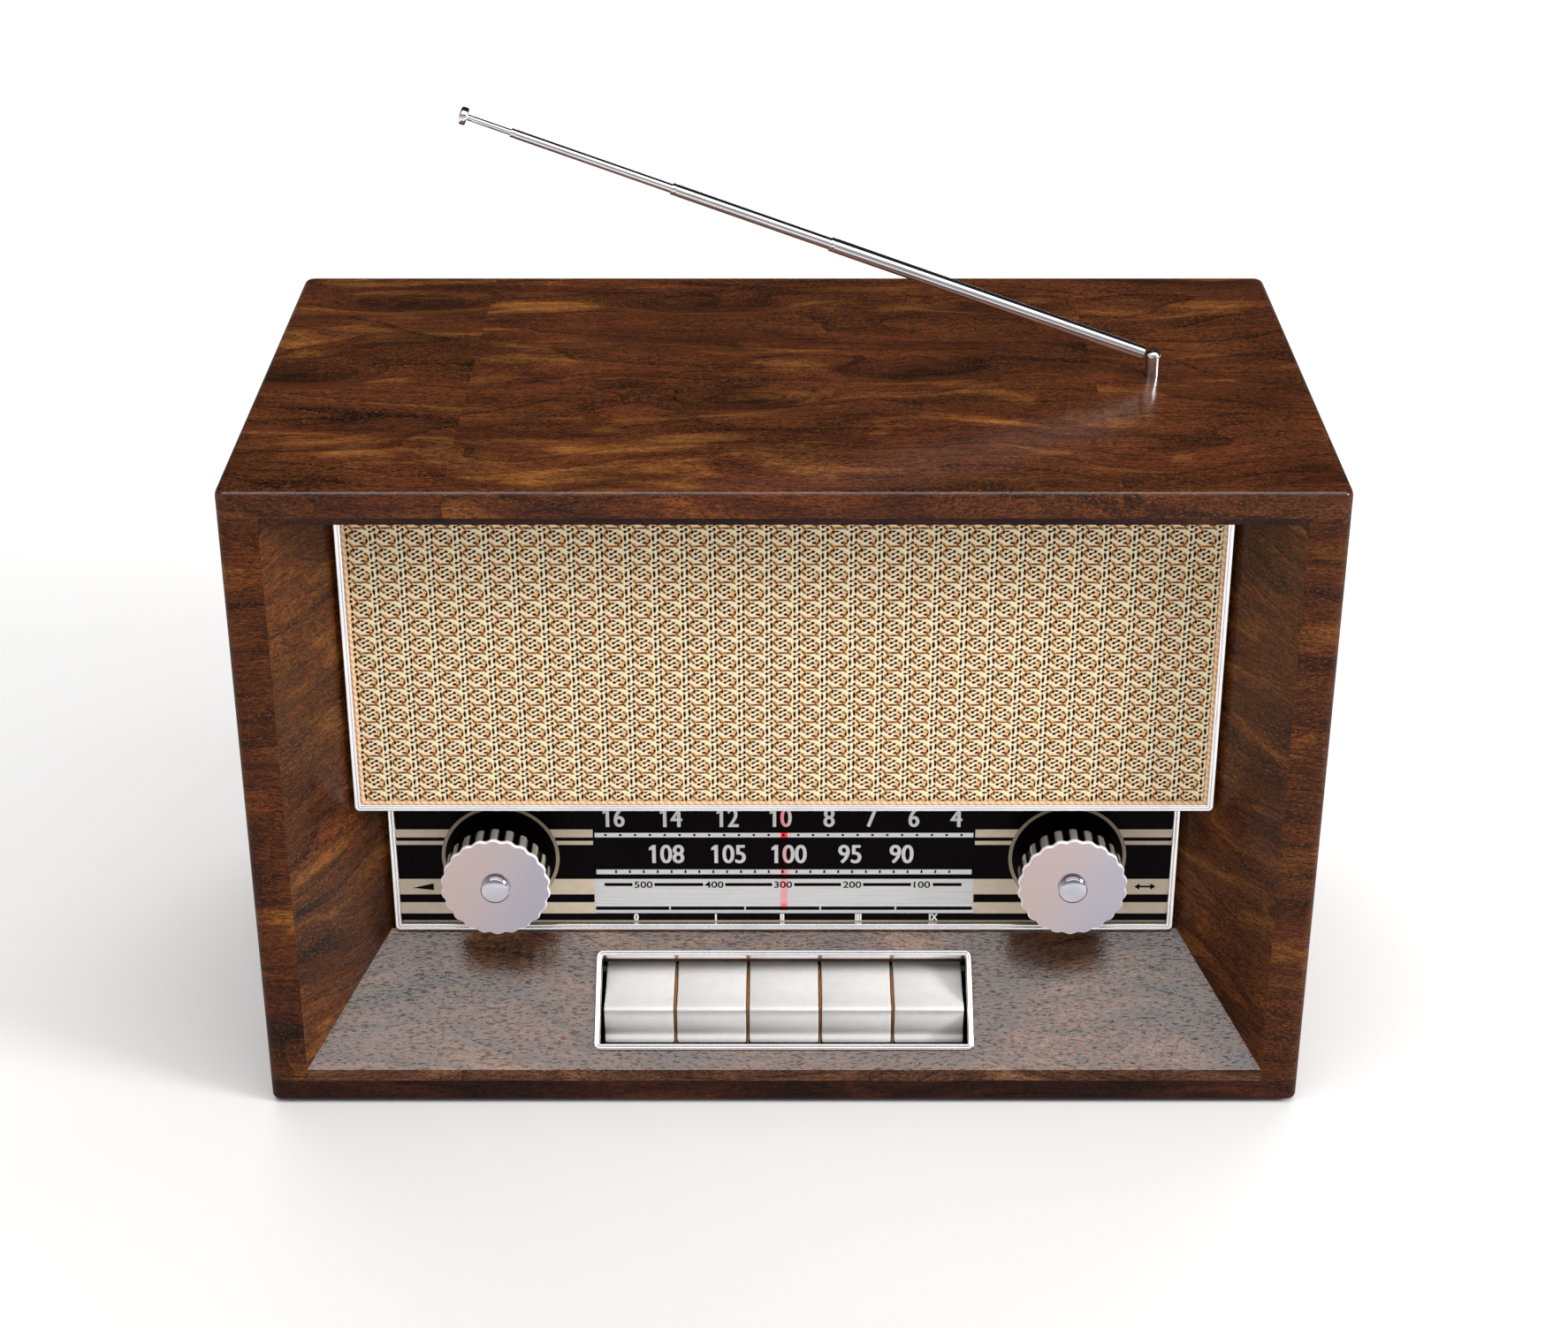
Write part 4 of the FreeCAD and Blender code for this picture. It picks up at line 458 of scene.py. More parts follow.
ALONG_X = (0, 1, 1)
ALONG_XY = (0, 0, 1)
DARK_WALNUT = ((22, 8, 5), (44, 18, 10), (66, 32, 17))
WOODS = {
    "walnut_top": dict(stretch=ALONG_X, tones=((36, 14, 5), (80, 38, 14), (128, 78, 30)), seed=1.0,
                       knots=[(-146, 180), (-30, 180), (83, 180), (-179, 105), (-10, 80), (49, 110)],
                       seams=(-114, 113), shaded_rims=True, coat=0.7, coat_rough=0.14, coat_index=1.7),
    "walnut_base": dict(stretch=ALONG_X, tones=DARK_WALNUT, seed=5.0, coat=0.05),
    "walnut_side": dict(stretch=ALONG_XY, tones=((34, 14, 7), (80, 38, 14), (122, 73, 28)), seed=9.0,
                        coat=0.08),
    "walnut_cheek": dict(stretch=ALONG_XY, tones=((32, 14, 6), (84, 43, 17), (132, 82, 34)), seed=13.0,
                         coat=0.45, coat_bump=0.0002),
    "walnut_rail": dict(stretch=ALONG_X, tones=DARK_WALNUT, seed=17.0),
    "walnut_sill": dict(stretch=ALONG_X, tones=((48, 26, 16), (86, 56, 40), (118, 82, 58)), seed=21.0,
                        matt_flecks=0.42, coat=1.0, coat_bump=0.00009, coat_rough=0.12,
                        coat_index=1.78),
    "pine": dict(stretch=ALONG_XY, tones=((190, 150, 98), (208, 170, 118), (222, 188, 140)), seed=31.0,
                 coat=0.0),
}
METALS = {
    "chrome_trim": ((236, 233, 236), (246, 245, 246), 0.2, 900.0, 0.0000005),
    "antenna_chrome": ((228, 224, 228), (246, 245, 246), 0.08, 900.0, 0.0),
    "boss_chrome": ((186, 186, 196), (206, 204, 212), 0.1, 900.0, 0.0),
    "bright_steel": ((178, 178, 176), (200, 200, 198), 0.3, (200.0, 200.0, 3000.0)),
    "brass_plain": ((184, 148, 84), (206, 172, 104), 0.28),
}
MOULDINGS = {
    "key_ivory": ((240, 239, 237), (251, 250, 249), 0.3, 2600.0, 0.000012),
    "divider_brown": ((150, 96, 42), (184, 122, 58), 0.4),
    "black_print": ((7, 3, 6), (12, 7, 10), 0.25, 900.0, 0.0),
    "cream_print": ((208, 190, 166), (222, 207, 184), 0.45, 3000.0),
    "ring_print": ((150, 136, 112), (168, 154, 128), 0.4, 3000.0),
    "white_print": ((232, 231, 230), (246, 246, 245), 0.4, 3000.0),
    "black_plastic": ((18, 17, 18), (30, 28, 29), 0.35),
    "reflector_white": ((222, 221, 222), (236, 235, 236), 0.5),
    "hardboard": ((96, 62, 38), (128, 88, 56), 0.7, 1800.0, 0.00006),
    "cord_nylon": ((206, 196, 170), (226, 218, 194), 0.6, 4000.0),
    "circuit_laminate": ((124, 88, 44), (142, 104, 54), 0.45),
    "component_mix": ((60, 70, 92), (150, 122, 88), 0.4, 300.0),
    "speaker_paper": ((28, 27, 26), (46, 44, 42), 0.85, 2200.0),
    "ferrite": ((38, 38, 41), (54, 54, 57), 0.5),
    "core_steel": ((70, 70, 74), (98, 98, 100), 0.4, 1800.0),
    "foot_rubber": ((22, 21, 21), (34, 33, 32), 0.7),
}
MOULDING_SOCKETS = {
    "key_ivory": dict(Coat_Weight=0.3, Coat_Roughness=0.2),
    "black_print": dict(Specular_IOR_Level=0.03),
    # Painted light: the reflector behind the dial glows, though it is no lamp.
    "reflector_white": dict(Emission_Color=(1, 0.99, 0.99, 1), Emission_Strength=0.52),
    "core_steel": dict(Metallic=0.8),
}
OTHER_LOOKS = {
    "knob_chrome": fluted_chrome,
    "satin_silver": satin_face,
    "pointer_red": glowing_pointer,
    "speaker_cloth": speaker_cloth,
    "piping": twisted_piping,
    "dial_film": dial_film,
    "scale_glass": clear_glass,
}


def make_materials():
    """Every finish by name."""
    made = {name: walnut(name, **wood) for name, wood in WOODS.items()}
    made.update({name: metal(name, *values) for name, values in METALS.items()})
    for name, values in MOULDINGS.items():
        made[name] = moulded(name, *values, **MOULDING_SOCKETS.get(name, {}))
    made.update({name: make(name) for name, make in OTHER_LOOKS.items()})
    return made


FINISH = make_materials()


# ---------------------------------------------------------------- pieces

def placed(name, data):
    """A new object of the data, in the scene."""
    made = bpy.data.objects.new(name, data)
    bpy.context.scene.collection.objects.link(made)
    return made


def piece(name, shape, finish, body, nodes, sharp=38.0):
    """A mesh object from a bmesh, with its finish, its body and the CAD nodes that it stands for.
    Edges sharper than sharp degrees stay crisp."""
    mesh = bpy.data.meshes.new(name)
    shape.to_mesh(mesh)
    shape.free()
    mesh.shade_smooth()
    mesh.set_sharp_from_angle(angle=math.radians(sharp))
    mesh.materials.append(FINISH[finish])
    made = placed(name, mesh)
    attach(made, body)
    if nodes:
        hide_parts(*nodes)
    return made


def skin(vertices, faces):
    """A bmesh of vertices and faces, with its normals outwards."""
    work = bmesh.new()
    corners = [work.verts.new(vertex) for vertex in vertices]
    for face in faces:
        work.faces.new([corners[index] for index in face])
    bmesh.ops.recalc_face_normals(work, faces=work.faces)
    return work


def loft(rings, wrap=False):
    """The skin over closed rings of equally many points. wrap joins the last ring to the first;
    otherwise both ends are closed."""
    count = len(rings[0])
    vertices = [point for ring in rings for point in ring]
    faces = []
    for row in range(len(rings) if wrap else len(rings) - 1):
        first = row * count
        second = (row + 1) % len(rings) * count
        for column in range(count):
            following = (column + 1) % count
            faces.append((first + column, first + following, second + following, second + column))
    if not wrap:
        faces.append(tuple(range(count)))
        faces.append(tuple(range(len(vertices) - count, len(vertices))))
    return skin(vertices, faces)


def board(low, high, rounds):
    """A board with rounded edges. rounds is a list of (radius, test), where test picks edges by
    their middle and direction."""
    work = bmesh.new()
    bmesh.ops.create_cube(work, size=1.0)
    for vertex in work.verts:
        vertex.co = Vector([low[i] if vertex.co[i] < 0 else high[i] for i in range(3)])
    for radius, test in rounds:
        chosen = []
        for edge in work.edges:
            start, end = (vertex.co for vertex in edge.verts)
            if test((start + end) / 2, (end - start).normalized()):
                chosen.append(edge)
        bmesh.ops.bevel(work, geom=chosen, offset=radius * MM, offset_type="OFFSET", segments=5,
                        profile=0.5, affect="EDGES", clamp_overlap=True)
    return work


def rounded_rectangle(half_width, half_height, radius, steps=8):
    """Points (u, v) round a rectangle about the origin."""
    points = []
    for quarter in range(4):
        centre_u = (half_width - radius) * (1 if quarter in (0, 3) else -1)
        centre_v = (half_height - radius) * (1 if quarter in (0, 1) else -1)
        points += arc((centre_u, centre_v), radius, 90 * quarter, 90 * quarter + 90, steps)
    return points


def bezel(half_width, half_height, corner, section, put):
    """A frame swept round a rectangle. section is a closed line of (inset, depth), and put turns
    (u, v, depth) into a point."""
    rings = []
    for inset, depth in section:
        outline = rounded_rectangle(half_width - inset, half_height - inset, max(corner - inset, 0.35))
        rings.append([put(u, v, depth) for u, v in outline])
    return loft(rings, wrap=True)


def turned_rings(section, put, sides):
    """The rings of a turned shape. section is a line of (radius, along), and put turns
    (u, v, along) into a point."""
    turns = [2 * math.pi * side / sides for side in range(sides)]
    return [[put(radius * math.cos(turn), radius * math.sin(turn), along) for turn in turns]
            for radius, along in section]


def arc(centre, radius, start, end, steps):
    """Points of an arc, with angles in degrees."""
    points = []
    for step in range(steps + 1):
        angle = math.radians(start + (end - start) * step / steps)
        points.append((centre[0] + radius * math.cos(angle), centre[1] + radius * math.sin(angle)))
    return points


# ---------------------------------------------------------------- cabinet

EDGE = 4.0
TOP_RIM = 2.4
BASE_RIM = 1.4
TOUCHING = 1e-6  # in metres


def upright(middle, direction):
    """Picks a board's upright edges."""
    return abs(direction.z) > 0.99


def upright_at(x):
    """Picks a board's upright edges at one x."""
    return lambda middle, direction: upright(middle, direction) and abs(middle.x - x) < TOUCHING


def level_at(z):
    """Picks a board's level edges at one height."""
    return lambda middle, direction: abs(middle.z - z) < TOUCHING and abs(direction.z) < 0.5


def cabinet():
    """The four veneered boards of the cabinet's shell."""
    low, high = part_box("top_panel")
    piece("top_board", board(low, high, [(EDGE, upright), (TOP_RIM, level_at(high.z))]), "walnut_top",
          "radio", ["top_panel"])
    low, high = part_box("bottom_panel")
    piece("base_board", board(low, high, [(EDGE, upright), (BASE_RIM, level_at(low.z))]), "walnut_base",
          "radio", ["bottom_panel"])
    for node, outer in (("left_side_panel", 0), ("right_side_panel", 1)):
        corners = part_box(node)
        shape = board(*corners, [(EDGE, upright_at(corners[outer].x))])
        piece(node + "_veneered", shape, "walnut_side", "radio", [node])


cabinet()


# ---------------------------------------------------------------- bright frames

FRAME_BAND = 2.5
FRAME_CORNER = 2.0
FRAME_SECTION = [(0.0, 0.45), (0.12, 0.14), (0.4, 0.0), (1.0, 0.0), (1.25, 0.12), (1.4, 0.3),
                 (1.6, 0.16), (2.0, 0.14), (2.3, 0.3), (2.5, 0.7)]


def upright_plane(node):
    """Half the width and height of a node in mm, and put for its front: depth runs to the back."""
    low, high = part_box(node)
    middle = (low + high) / 2
    half = (high - low) / 2 / MM

    def put(u, v, depth):
        return Vector((middle.x + u * MM, low.y + depth * MM, middle.z + v * MM))

    return half.x, half.z, put


def upright_frame(name, node, band):
    """A bezel whose plane is upright, in the place of its CAD node. band is how wide it shows."""
    half_width, half_height, put = upright_plane(node)
    low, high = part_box(node)
    deep = (high.y - low.y) / MM
    section = [(inset * band / FRAME_BAND, depth) for inset, depth in FRAME_SECTION]
    section = [(0.0, deep)] + section + [(band, deep)]
    shape = bezel(half_width, half_height, FRAME_CORNER, section, put)
    piece(name, shape, "chrome_trim", "radio", [node], 50.0)


CLOTH_COLUMNS = 154
CLOTH_ROWS = 60
CLOTH_EDGE = 0.6
CLOTH_FACE = 0.08


def cloth_skin(low, high):
    """The stretched cloth between two corners: flat, but for the slightest ripple, and tucked back
    along its edges."""
    vertices = []
    for row in range(CLOTH_ROWS + 1):
        for column in range(CLOTH_COLUMNS + 1):
            x = low.x + (high.x - low.x) * column / CLOTH_COLUMNS
            z = low.z + (high.z - low.z) * row / CLOTH_ROWS
            edge = row in (0, CLOTH_ROWS) or column in (0, CLOTH_COLUMNS)
            ripple = 0.05 * math.sin(x * 61) * math.sin(z * 83)
            vertices.append(Vector((x, low.y + (CLOTH_EDGE if edge else CLOTH_FACE + ripple) * MM, z)))
    faces = []
    for row in range(CLOTH_ROWS):
        for column in range(CLOTH_COLUMNS):
            first = row * (CLOTH_COLUMNS + 1) + column
            above = first + CLOTH_COLUMNS + 1
            faces.append((first, first + 1, above + 1, above))
    return skin(vertices, faces)


PIPING_RADIUS = 0.62
PIPING_INSET = 3.1
PIPING_DEPTH = 1.0


def grille():
    """The grille's bezel, its cloth and the piping round the cloth."""
    upright_frame("grille_bezel", "grille_frame", 2.5)
    low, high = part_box("grille_cloth")
    cloth = piece("grille_fabric", cloth_skin(low, high), "speaker_cloth", "radio", ["grille_cloth"],
                  80.0)
    half_width, half_height, put = upright_plane("grille_frame")
    section = arc((PIPING_INSET, PIPING_DEPTH), PIPING_RADIUS, 0, 330, 11)
    piping = piece("grille_piping", bezel(half_width, half_height, FRAME_CORNER, section, put),
                   "piping", "radio", (), 80.0)


grille()
upright_frame("dial_bezel", "dial_frame", 2.6)

SILL_FOOT = 13.6
SILL_TILT = math.atan2(33.57, 44.2)
KEY_FRAME_START = 7.5
KEY_FRAME_END = 46.75
KEY_FRAME_HALF_WIDTH = 70.5
KEY_FRAME_PROUD = 1.2
KEY_FRAME_SECTION = [(0.0, 1.3), (0.0, 0.5), (0.2, 0.15), (0.5, 0.0), (1.1, 0.0), (1.25, 0.12),
                     (1.4, 0.0), (1.9, 0.0), (2.25, 0.2), (2.4, 0.55), (2.4, 3.6), (2.1, 3.6),
                     (2.1, 1.3)]


def key_bezel():
    """The keys' bezel, which lies on the slope of the sill."""
    along = Vector((0, math.cos(SILL_TILT), math.sin(SILL_TILT)))
    out = Vector((0, -math.sin(SILL_TILT), math.cos(SILL_TILT)))
    middle = at(0, 0, SILL_FOOT) + along * (KEY_FRAME_START + KEY_FRAME_END) / 2 * MM

    def put(u, v, depth):
        return middle + Vector((u * MM, 0, 0)) + along * v * MM - out * (depth - KEY_FRAME_PROUD) * MM

    shape = bezel(KEY_FRAME_HALF_WIDTH, (KEY_FRAME_END - KEY_FRAME_START) / 2, 2.8,
                  KEY_FRAME_SECTION, put)
    piece("key_bezel", shape, "chrome_trim", "radio", ["key_frame"], 50.0)


key_bezel()


# ---------------------------------------------------------------- knobs

LOBES = 22
DISC_LOBE = 0.75
BODY_LOBE = 0.9
BOSS_RADIUS = 5.15
BOSS_DOME = 1.2


def lobed_ring(centre, radius, depth, y):
    """A ring of points with LOBES rounded lobes, one of them at the top."""
    points = []
    count = LOBES * 12
    for step in range(count):
        angle = 2 * math.pi * step / count
        dip = (0.5 - 0.5 * math.cos(LOBES * angle)) ** 1.4
        reach = (radius - depth * dip) * MM
        points.append(Vector((centre.x + reach * math.sin(angle), y, centre.z + reach * math.cos(angle))))
    return points


def lobed(centre, start, section):
    """A lobed solid about a knob's axis. section is a line of (radius, lobe depth, setback from
    start)."""
    return loft([lobed_ring(centre, radius, depth, start + back * MM) for radius, depth, back in section])


def knob(prefix, body):
    """A knob: the fluted body, the satin disc on its front and the boss in the middle."""
    low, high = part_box(prefix + "_knob_disc")
    centre = (low + high) / 2
    radius = (high.x - low.x) / 2 / MM
    disc = [(0.02, 0.0, 0.0), (0.5, 0.0, 0.0), (radius - 0.5, DISC_LOBE, 0.0),
            (radius - 0.1, DISC_LOBE, 0.35), (radius, DISC_LOBE, 0.65), (radius, DISC_LOBE, 1.2),
            (radius - 0.6, DISC_LOBE, 1.6), (5.0, 0.0, 1.6)]
    piece(prefix + "_disc_turned", lobed(centre, low.y, disc), "satin_silver", body,
          [prefix + "_knob_disc"], 12.0)

    low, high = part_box(prefix + "_knob")
    radius = (high.x - low.x) / 2 / MM
    ribbed = [(17.6, 0.0, 0.0), (radius - 0.5, BODY_LOBE, 0.0), (radius, BODY_LOBE, 0.35),
              (radius, BODY_LOBE, 7.6), (radius - 0.9, BODY_LOBE, 8.4), (7.5, 0.0, 8.4),
              (7.0, 0.0, 8.9), (7.0, 0.0, 18.9)]
    piece(prefix + "_knob_fluted", lobed(centre, low.y, ribbed), "knob_chrome", body,
          [prefix + "_knob"], 40.0)

    low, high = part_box(prefix + "_knob_boss")
    tall = (high.y - low.y) / MM
    boss = [(5.4, 0.0), (5.4, tall - 1.75), (5.3, tall - 1.6), (5.05, tall - 1.5),
            (5.0, tall - 1.35), (BOSS_RADIUS, tall - BOSS_DOME)]
    for degrees in range(10, 90, 8):
        angle = math.radians(degrees)
        boss.append((BOSS_RADIUS * math.cos(angle), tall - BOSS_DOME * (1 - math.sin(angle))))
    boss.append((0.05, tall))

    def put(u, v, along):
        return Vector((centre.x + u * MM, high.y - along * MM, centre.z + v * MM))

    piece(prefix + "_boss_turned", loft(turned_rings(boss, put, 64)), "boss_chrome", body,
          [prefix + "_knob_boss"], 40.0)


knob("volume", "volume_control_spindle")
knob("tuner", "tuner_spindle")


# ---------------------------------------------------------------- keys

KEY_MIDDLE = (36.0, 22.0)


def key_section():
    """The outline of a key from the side, as (setback, height) in millimetres."""
    nose = arc((17.5, 28.75), 0.95, 180, 100, 5)
    crown = [(20.0, 29.5), (23.5, 29.35), (27.0, 29.55), (30.5, 30.1), (34.0, 30.95), (38.0, 31.75),
             (42.0, 32.2), (46.0, 32.1), (50.0, 31.5), (53.0, 30.1), (56.0, 28.0)]
    heel = [(56.4, 20.0), (54.2, 12.2), (50.4, 12.2), (48.8, 20.2), (30.0, 20.2), (23.6, 20.2),
            (21.9, 13.6), (17.9, 13.6)]
    face = [(17.5, 13.9), (17.5, 14.6), (17.75, 15.4), (18.4, 16.2), (18.6, 17.2), (18.2, 18.4),
            (17.8, 21.0), (17.62, 25.0), (17.6, 27.6), (17.3, 28.05), (16.7, 28.3)]
    return nose + crown + heel + face


def drawn_in(value, middle, inset):
    """A setback or height moved towards the middle of the key."""
    return value - math.copysign(inset, value - middle)


def keys():
    """The five moulded keys. Their sections are drawn in at both ends, which softens the corners."""
    section = key_section()
    for number in range(1, 6):
        node = f"key_{number}"
        low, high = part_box(node)
        left, right = low.x / MM, high.x / MM
        rings = []
        for x, inset in ((left, 0.35), (left + 0.12, 0.12), (left + 0.4, 0.0),
                         (right - 0.4, 0.0), (right - 0.12, 0.12), (right, 0.35)):
            rings.append([at(x, drawn_in(setback, KEY_MIDDLE[0], inset),
                             drawn_in(height, KEY_MIDDLE[1], inset)) for setback, height in section])
        piece(node + "_moulded", loft(rings), "key_ivory", f"key_lever_{number}", [node],
              42.0)


keys()


# ---------------------------------------------------------------- dial print

# Setbacks of the layers of print, from the film at the back to the marks in front.
FILM_LAYER = 44.47
BLACK_LAYER = 44.42
COLOUR_LAYER = 44.37
RING_LAYER = 44.35
MARK_LAYER = 44.34

DIAL_REACH = 144.6
PANEL_HALF = 71.0
KNOB_X = 105.4
AXIS_HEIGHT = 78.5
RING_HEIGHT = 78.3
RING_RADIUS = 21.9
RING_LINE = 1.3

# The foot and head of each row of the dial.
BLACK_ROW = (48.9, 110.4)
SHORT_WAVE_ROW = (91.2, 99.2)
SHORT_WAVE_STRIP = (86.8, 88.7)
FM_ROW = (75.6, 83.6)
FM_STRIP = (70.8, 72.9)
FM_TICK = (71.3, 72.6)
PANEL_ROW = (53.55, 68.8)
LONG_WAVE_ROW = (64.9, 67.75)
LONG_WAVE_LINE = (65.65, 67.0)
BAND_LINE = (55.2, 56.7)
BAND_MARK_ROW = (50.5, 53.6)
FILM_ROW = (53.2, 101.0)
FOOT_LINE = (49.9, 50.75)
STRIPES = ((86.8, 90.2), (83.6, 85.3), (62.1, 68.8), (53.7, 58.6))

# Across the dial: the ends and breaks of the lines, and the dots and ticks of the two strips.
LONG_WAVE_ENDS = (-67.1, 66.4)
LONG_WAVE_GAP = 4.1
BAND_BREAKS = (-70.9, -42.83, -14.61, 13.61, 41.83, 70.9)
BAND_GAP = 0.3
DOT_START, DOT_PITCH, DOT_HEIGHT, DOT_RADIUS = -66.2, 5.5, 87.8, 0.52
TICK_START, TICK_PITCH, TICK_HALF = -62.67, 5.18, 0.36
MARK_COUNT = 25

# x of the middle of each number.
SHORT_WAVE = dict(zip(("16", "14", "12", "10", "8", "7", "6", "4"),
                      (-62.41, -41.17, -20.26, -0.65, 16.66, 32.35, 48.03, 63.71)))
FM_BAND = dict(zip(("108", "105", "100", "95", "90"), (-43.06, -20.05, 2.47, 24.49, 43.72)))
LONG_WAVE = dict(zip(("500", "400", "300", "200", "100"), (-52.57, -26.12, -0.33, 25.46, 51.57)))
BAND_MARKS = dict(zip(("0", "I", "II", "III", "IX"), (-55.55, -25.62, -0.67, 27.94, 56.22)))


def box_line(start, end, row):
    """The outline of a bar from start to end, over a row's foot and head."""
    foot, head = row
    return [(start, foot), (end, foot), (end, head), (start, head)]


def circle_line(x, height, radius, steps=64):
    """The outline of a circle."""
    return arc((x, height), radius, 0, 360, steps)[:-1]


def row_fit(points, x, row, widen):
    """A function that moves and scales (u, v) so that points are centred on x and fill the row."""
    foot, head = row
    us = [u for u, _ in points]
    vs = [v for _, v in points]
    scale = (head - foot) / (max(vs) - min(vs))
    middle = (min(us) + max(us)) / 2
    low = min(vs)
    return lambda point: (x + (point[0] - middle) * scale * widen, foot + (point[1] - low) * scale)


def text_curve(text):
    """A text in the built-in lettering."""
    curve = bpy.data.curves.new("number", "FONT")
    curve.body = text
    return curve


def glyph_lines(text, x, row, widen, bold):
    """The outlines of a number centred on x. bold is how much each side of a stroke is thickened,
    across and upwards."""
    curve = text_curve(text)
    holder = placed("number", curve)
    flat = holder.to_curve(bpy.context.evaluated_depsgraph_get())
    outlines = [sampled(spline) for spline in flat.splines]
    holder.to_curve_clear()
    bpy.data.objects.remove(holder)
    bpy.data.curves.remove(curve)
    foot, head = row
    fit = row_fit([point for line in outlines for point in line], x, (foot + bold[1], head - bold[1]),
                  widen)
    lines = [thickened([fit(point) for point in line], *bold) for line in outlines]
    return [with_flag(line, head - foot) if "1" in text else line for line in lines]


def sampled(spline, steps=5):
    """The points of a closed Bezier outline."""
    points = []
    knots = list(spline.bezier_points)
    for knot_point, following in zip(knots, knots[1:] + knots[:1]):
        a, b = knot_point.co, knot_point.handle_right
        c, d = following.handle_left, following.co
        for step in range(steps):
            t = step / steps
            point = (a * (1 - t) ** 3 + b * 3 * t * (1 - t) ** 2 + c * 3 * t * t * (1 - t) + d * t ** 3)
            if not points or (Vector(points[-1]) - point.xy).length > 1e-4:
                points.append((point.x, point.y))
    return points


def thickened(line, bold_x, bold_z):
    """The outline moved outwards, which for a counter is inwards."""
    moved = []
    for index, (u, v) in enumerate(line):
        before = Vector(line[index - 1])
        after = Vector(line[(index + 1) % len(line)])
        run = (after - before).normalized()
        moved.append((u + run.y * bold_x, v - run.x * bold_z))
    return moved


def with_flag(line, tall):
    """A figure one, which is a plain upright in this lettering, gets the flag at its top."""
    us = [u for u, _ in line]
    vs = [v for _, v in line]
    left, right, low, top = min(us), max(us), min(vs), max(vs)
    if top - low < 0.9 * tall or right - left > 0.35 * tall:
        return line
    tip = left - 0.14 * tall
    return [(left, low), (right, low), (right, top), (left + 0.03 * tall, top),
            (tip, top - 0.15 * tall), (tip, top - 0.29 * tall), (left, top - 0.24 * tall)]


def flat_piece(name, curve, layer, finish, fit_to=None):
    """The filled curve as a flat print on one of the dial's layers. The curve is drawn as x and
    height in millimetres, or fit_to is the (x, row, widen) that it is moved to."""
    holder = placed(name, curve)
    bpy.context.view_layer.update()
    mesh = bpy.data.meshes.new_from_object(holder.evaluated_get(bpy.context.evaluated_depsgraph_get()))
    bpy.data.objects.remove(holder)
    bpy.data.curves.remove(curve)
    work = bmesh.new()
    work.from_mesh(mesh)
    bpy.data.meshes.remove(mesh)
    points = [(vertex.co.x, vertex.co.y) for vertex in work.verts]
    fit = row_fit(points, *fit_to) if fit_to else (lambda point: point)
    for vertex, point in zip(work.verts, points):
        x, height = fit(point)
        vertex.co = at(x, layer, height)
    for face in work.faces:
        face.normal_update()
        if face.normal.y > 0:
            face.normal_flip()
    piece(name, work, finish, "radio", ())


def print_sheet(name, outlines, layer, finish):
    """A flat print of closed outlines, filled by the even-odd rule."""
    curve = bpy.data.curves.new(name, "CURVE")
    curve.dimensions = "2D"
    curve.fill_mode = "FRONT"
    for outline in outlines:
        spline = curve.splines.new("POLY")
        spline.points.add(len(outline) - 1)
        for point, (u, v) in zip(spline.points, outline):
            point.co = (u, v, 0, 1)
        spline.use_cyclic_u = True
    flat_piece(name, curve, layer, finish)


def panel_lines():
    """The clear lower panel, and the broken lines on it: one for long wave and one for the bands."""
    lines = [box_line(-PANEL_HALF, PANEL_HALF, PANEL_ROW)]
    starts = [LONG_WAVE_ENDS[0]] + [x + LONG_WAVE_GAP for x in LONG_WAVE.values()]
    ends = [x - LONG_WAVE_GAP for x in LONG_WAVE.values()] + [LONG_WAVE_ENDS[1]]
    for start, end in zip(starts, ends):
        lines.append(box_line(start, end, LONG_WAVE_LINE))
    for left, right in zip(BAND_BREAKS, BAND_BREAKS[1:]):
        lines.append(box_line(left + BAND_GAP, right - BAND_GAP, BAND_LINE))
    return lines


def black_print():
    """The black of the dial, with its clear numbers and strips and the marks inside those."""
    lines = [box_line(-DIAL_REACH, DIAL_REACH, BLACK_ROW)]
    lines += [circle_line(side * KNOB_X, AXIS_HEIGHT, 3.6) for side in (-1, 1)]
    for text, x in SHORT_WAVE.items():
        lines += glyph_lines(text, x, SHORT_WAVE_ROW, 0.77, (0.22, 0.1))
    lines.append(box_line(-70.2, 70.2, SHORT_WAVE_STRIP))
    dots = [DOT_START + DOT_PITCH * step for step in range(MARK_COUNT)]
    lines += [circle_line(x, DOT_HEIGHT, DOT_RADIUS, 16) for x in dots]
    for text, x in FM_BAND.items():
        lines += glyph_lines(text, x, FM_ROW, 0.82, (0.24, 0.12))
    lines.append(box_line(-70.0, 70.0, FM_STRIP))
    ticks = [TICK_START + TICK_PITCH * step for step in range(MARK_COUNT)]
    lines += [box_line(x - TICK_HALF, x + TICK_HALF, FM_TICK) for x in ticks]
    print_sheet("dial_black_print", lines + panel_lines(), BLACK_LAYER, "black_print")


def ring_edge(height, side, outward):
    """x of the ring's outer edge at a height, or of the knob's axis above and below the ring."""
    rise = height - RING_HEIGHT
    reach = math.sqrt(max(RING_RADIUS ** 2 - rise ** 2, 0.0)) + 0.05
    return side * (KNOB_X + outward * reach)


def stripe_lines():
    """The cream stripes on both sides of each knob's ring."""
    lines = []
    for low, high in STRIPES:
        heights = [low + (high - low) * step / 8 for step in range(9)]
        for side in (-1, 1):
            for outward, end in ((-1, PANEL_HALF - 0.1), (1, DIAL_REACH - 0.9)):
                curved = [(ring_edge(height, side, outward), height) for height in heights]
                lines.append(curved + [(side * end, high), (side * end, low)])
    return lines


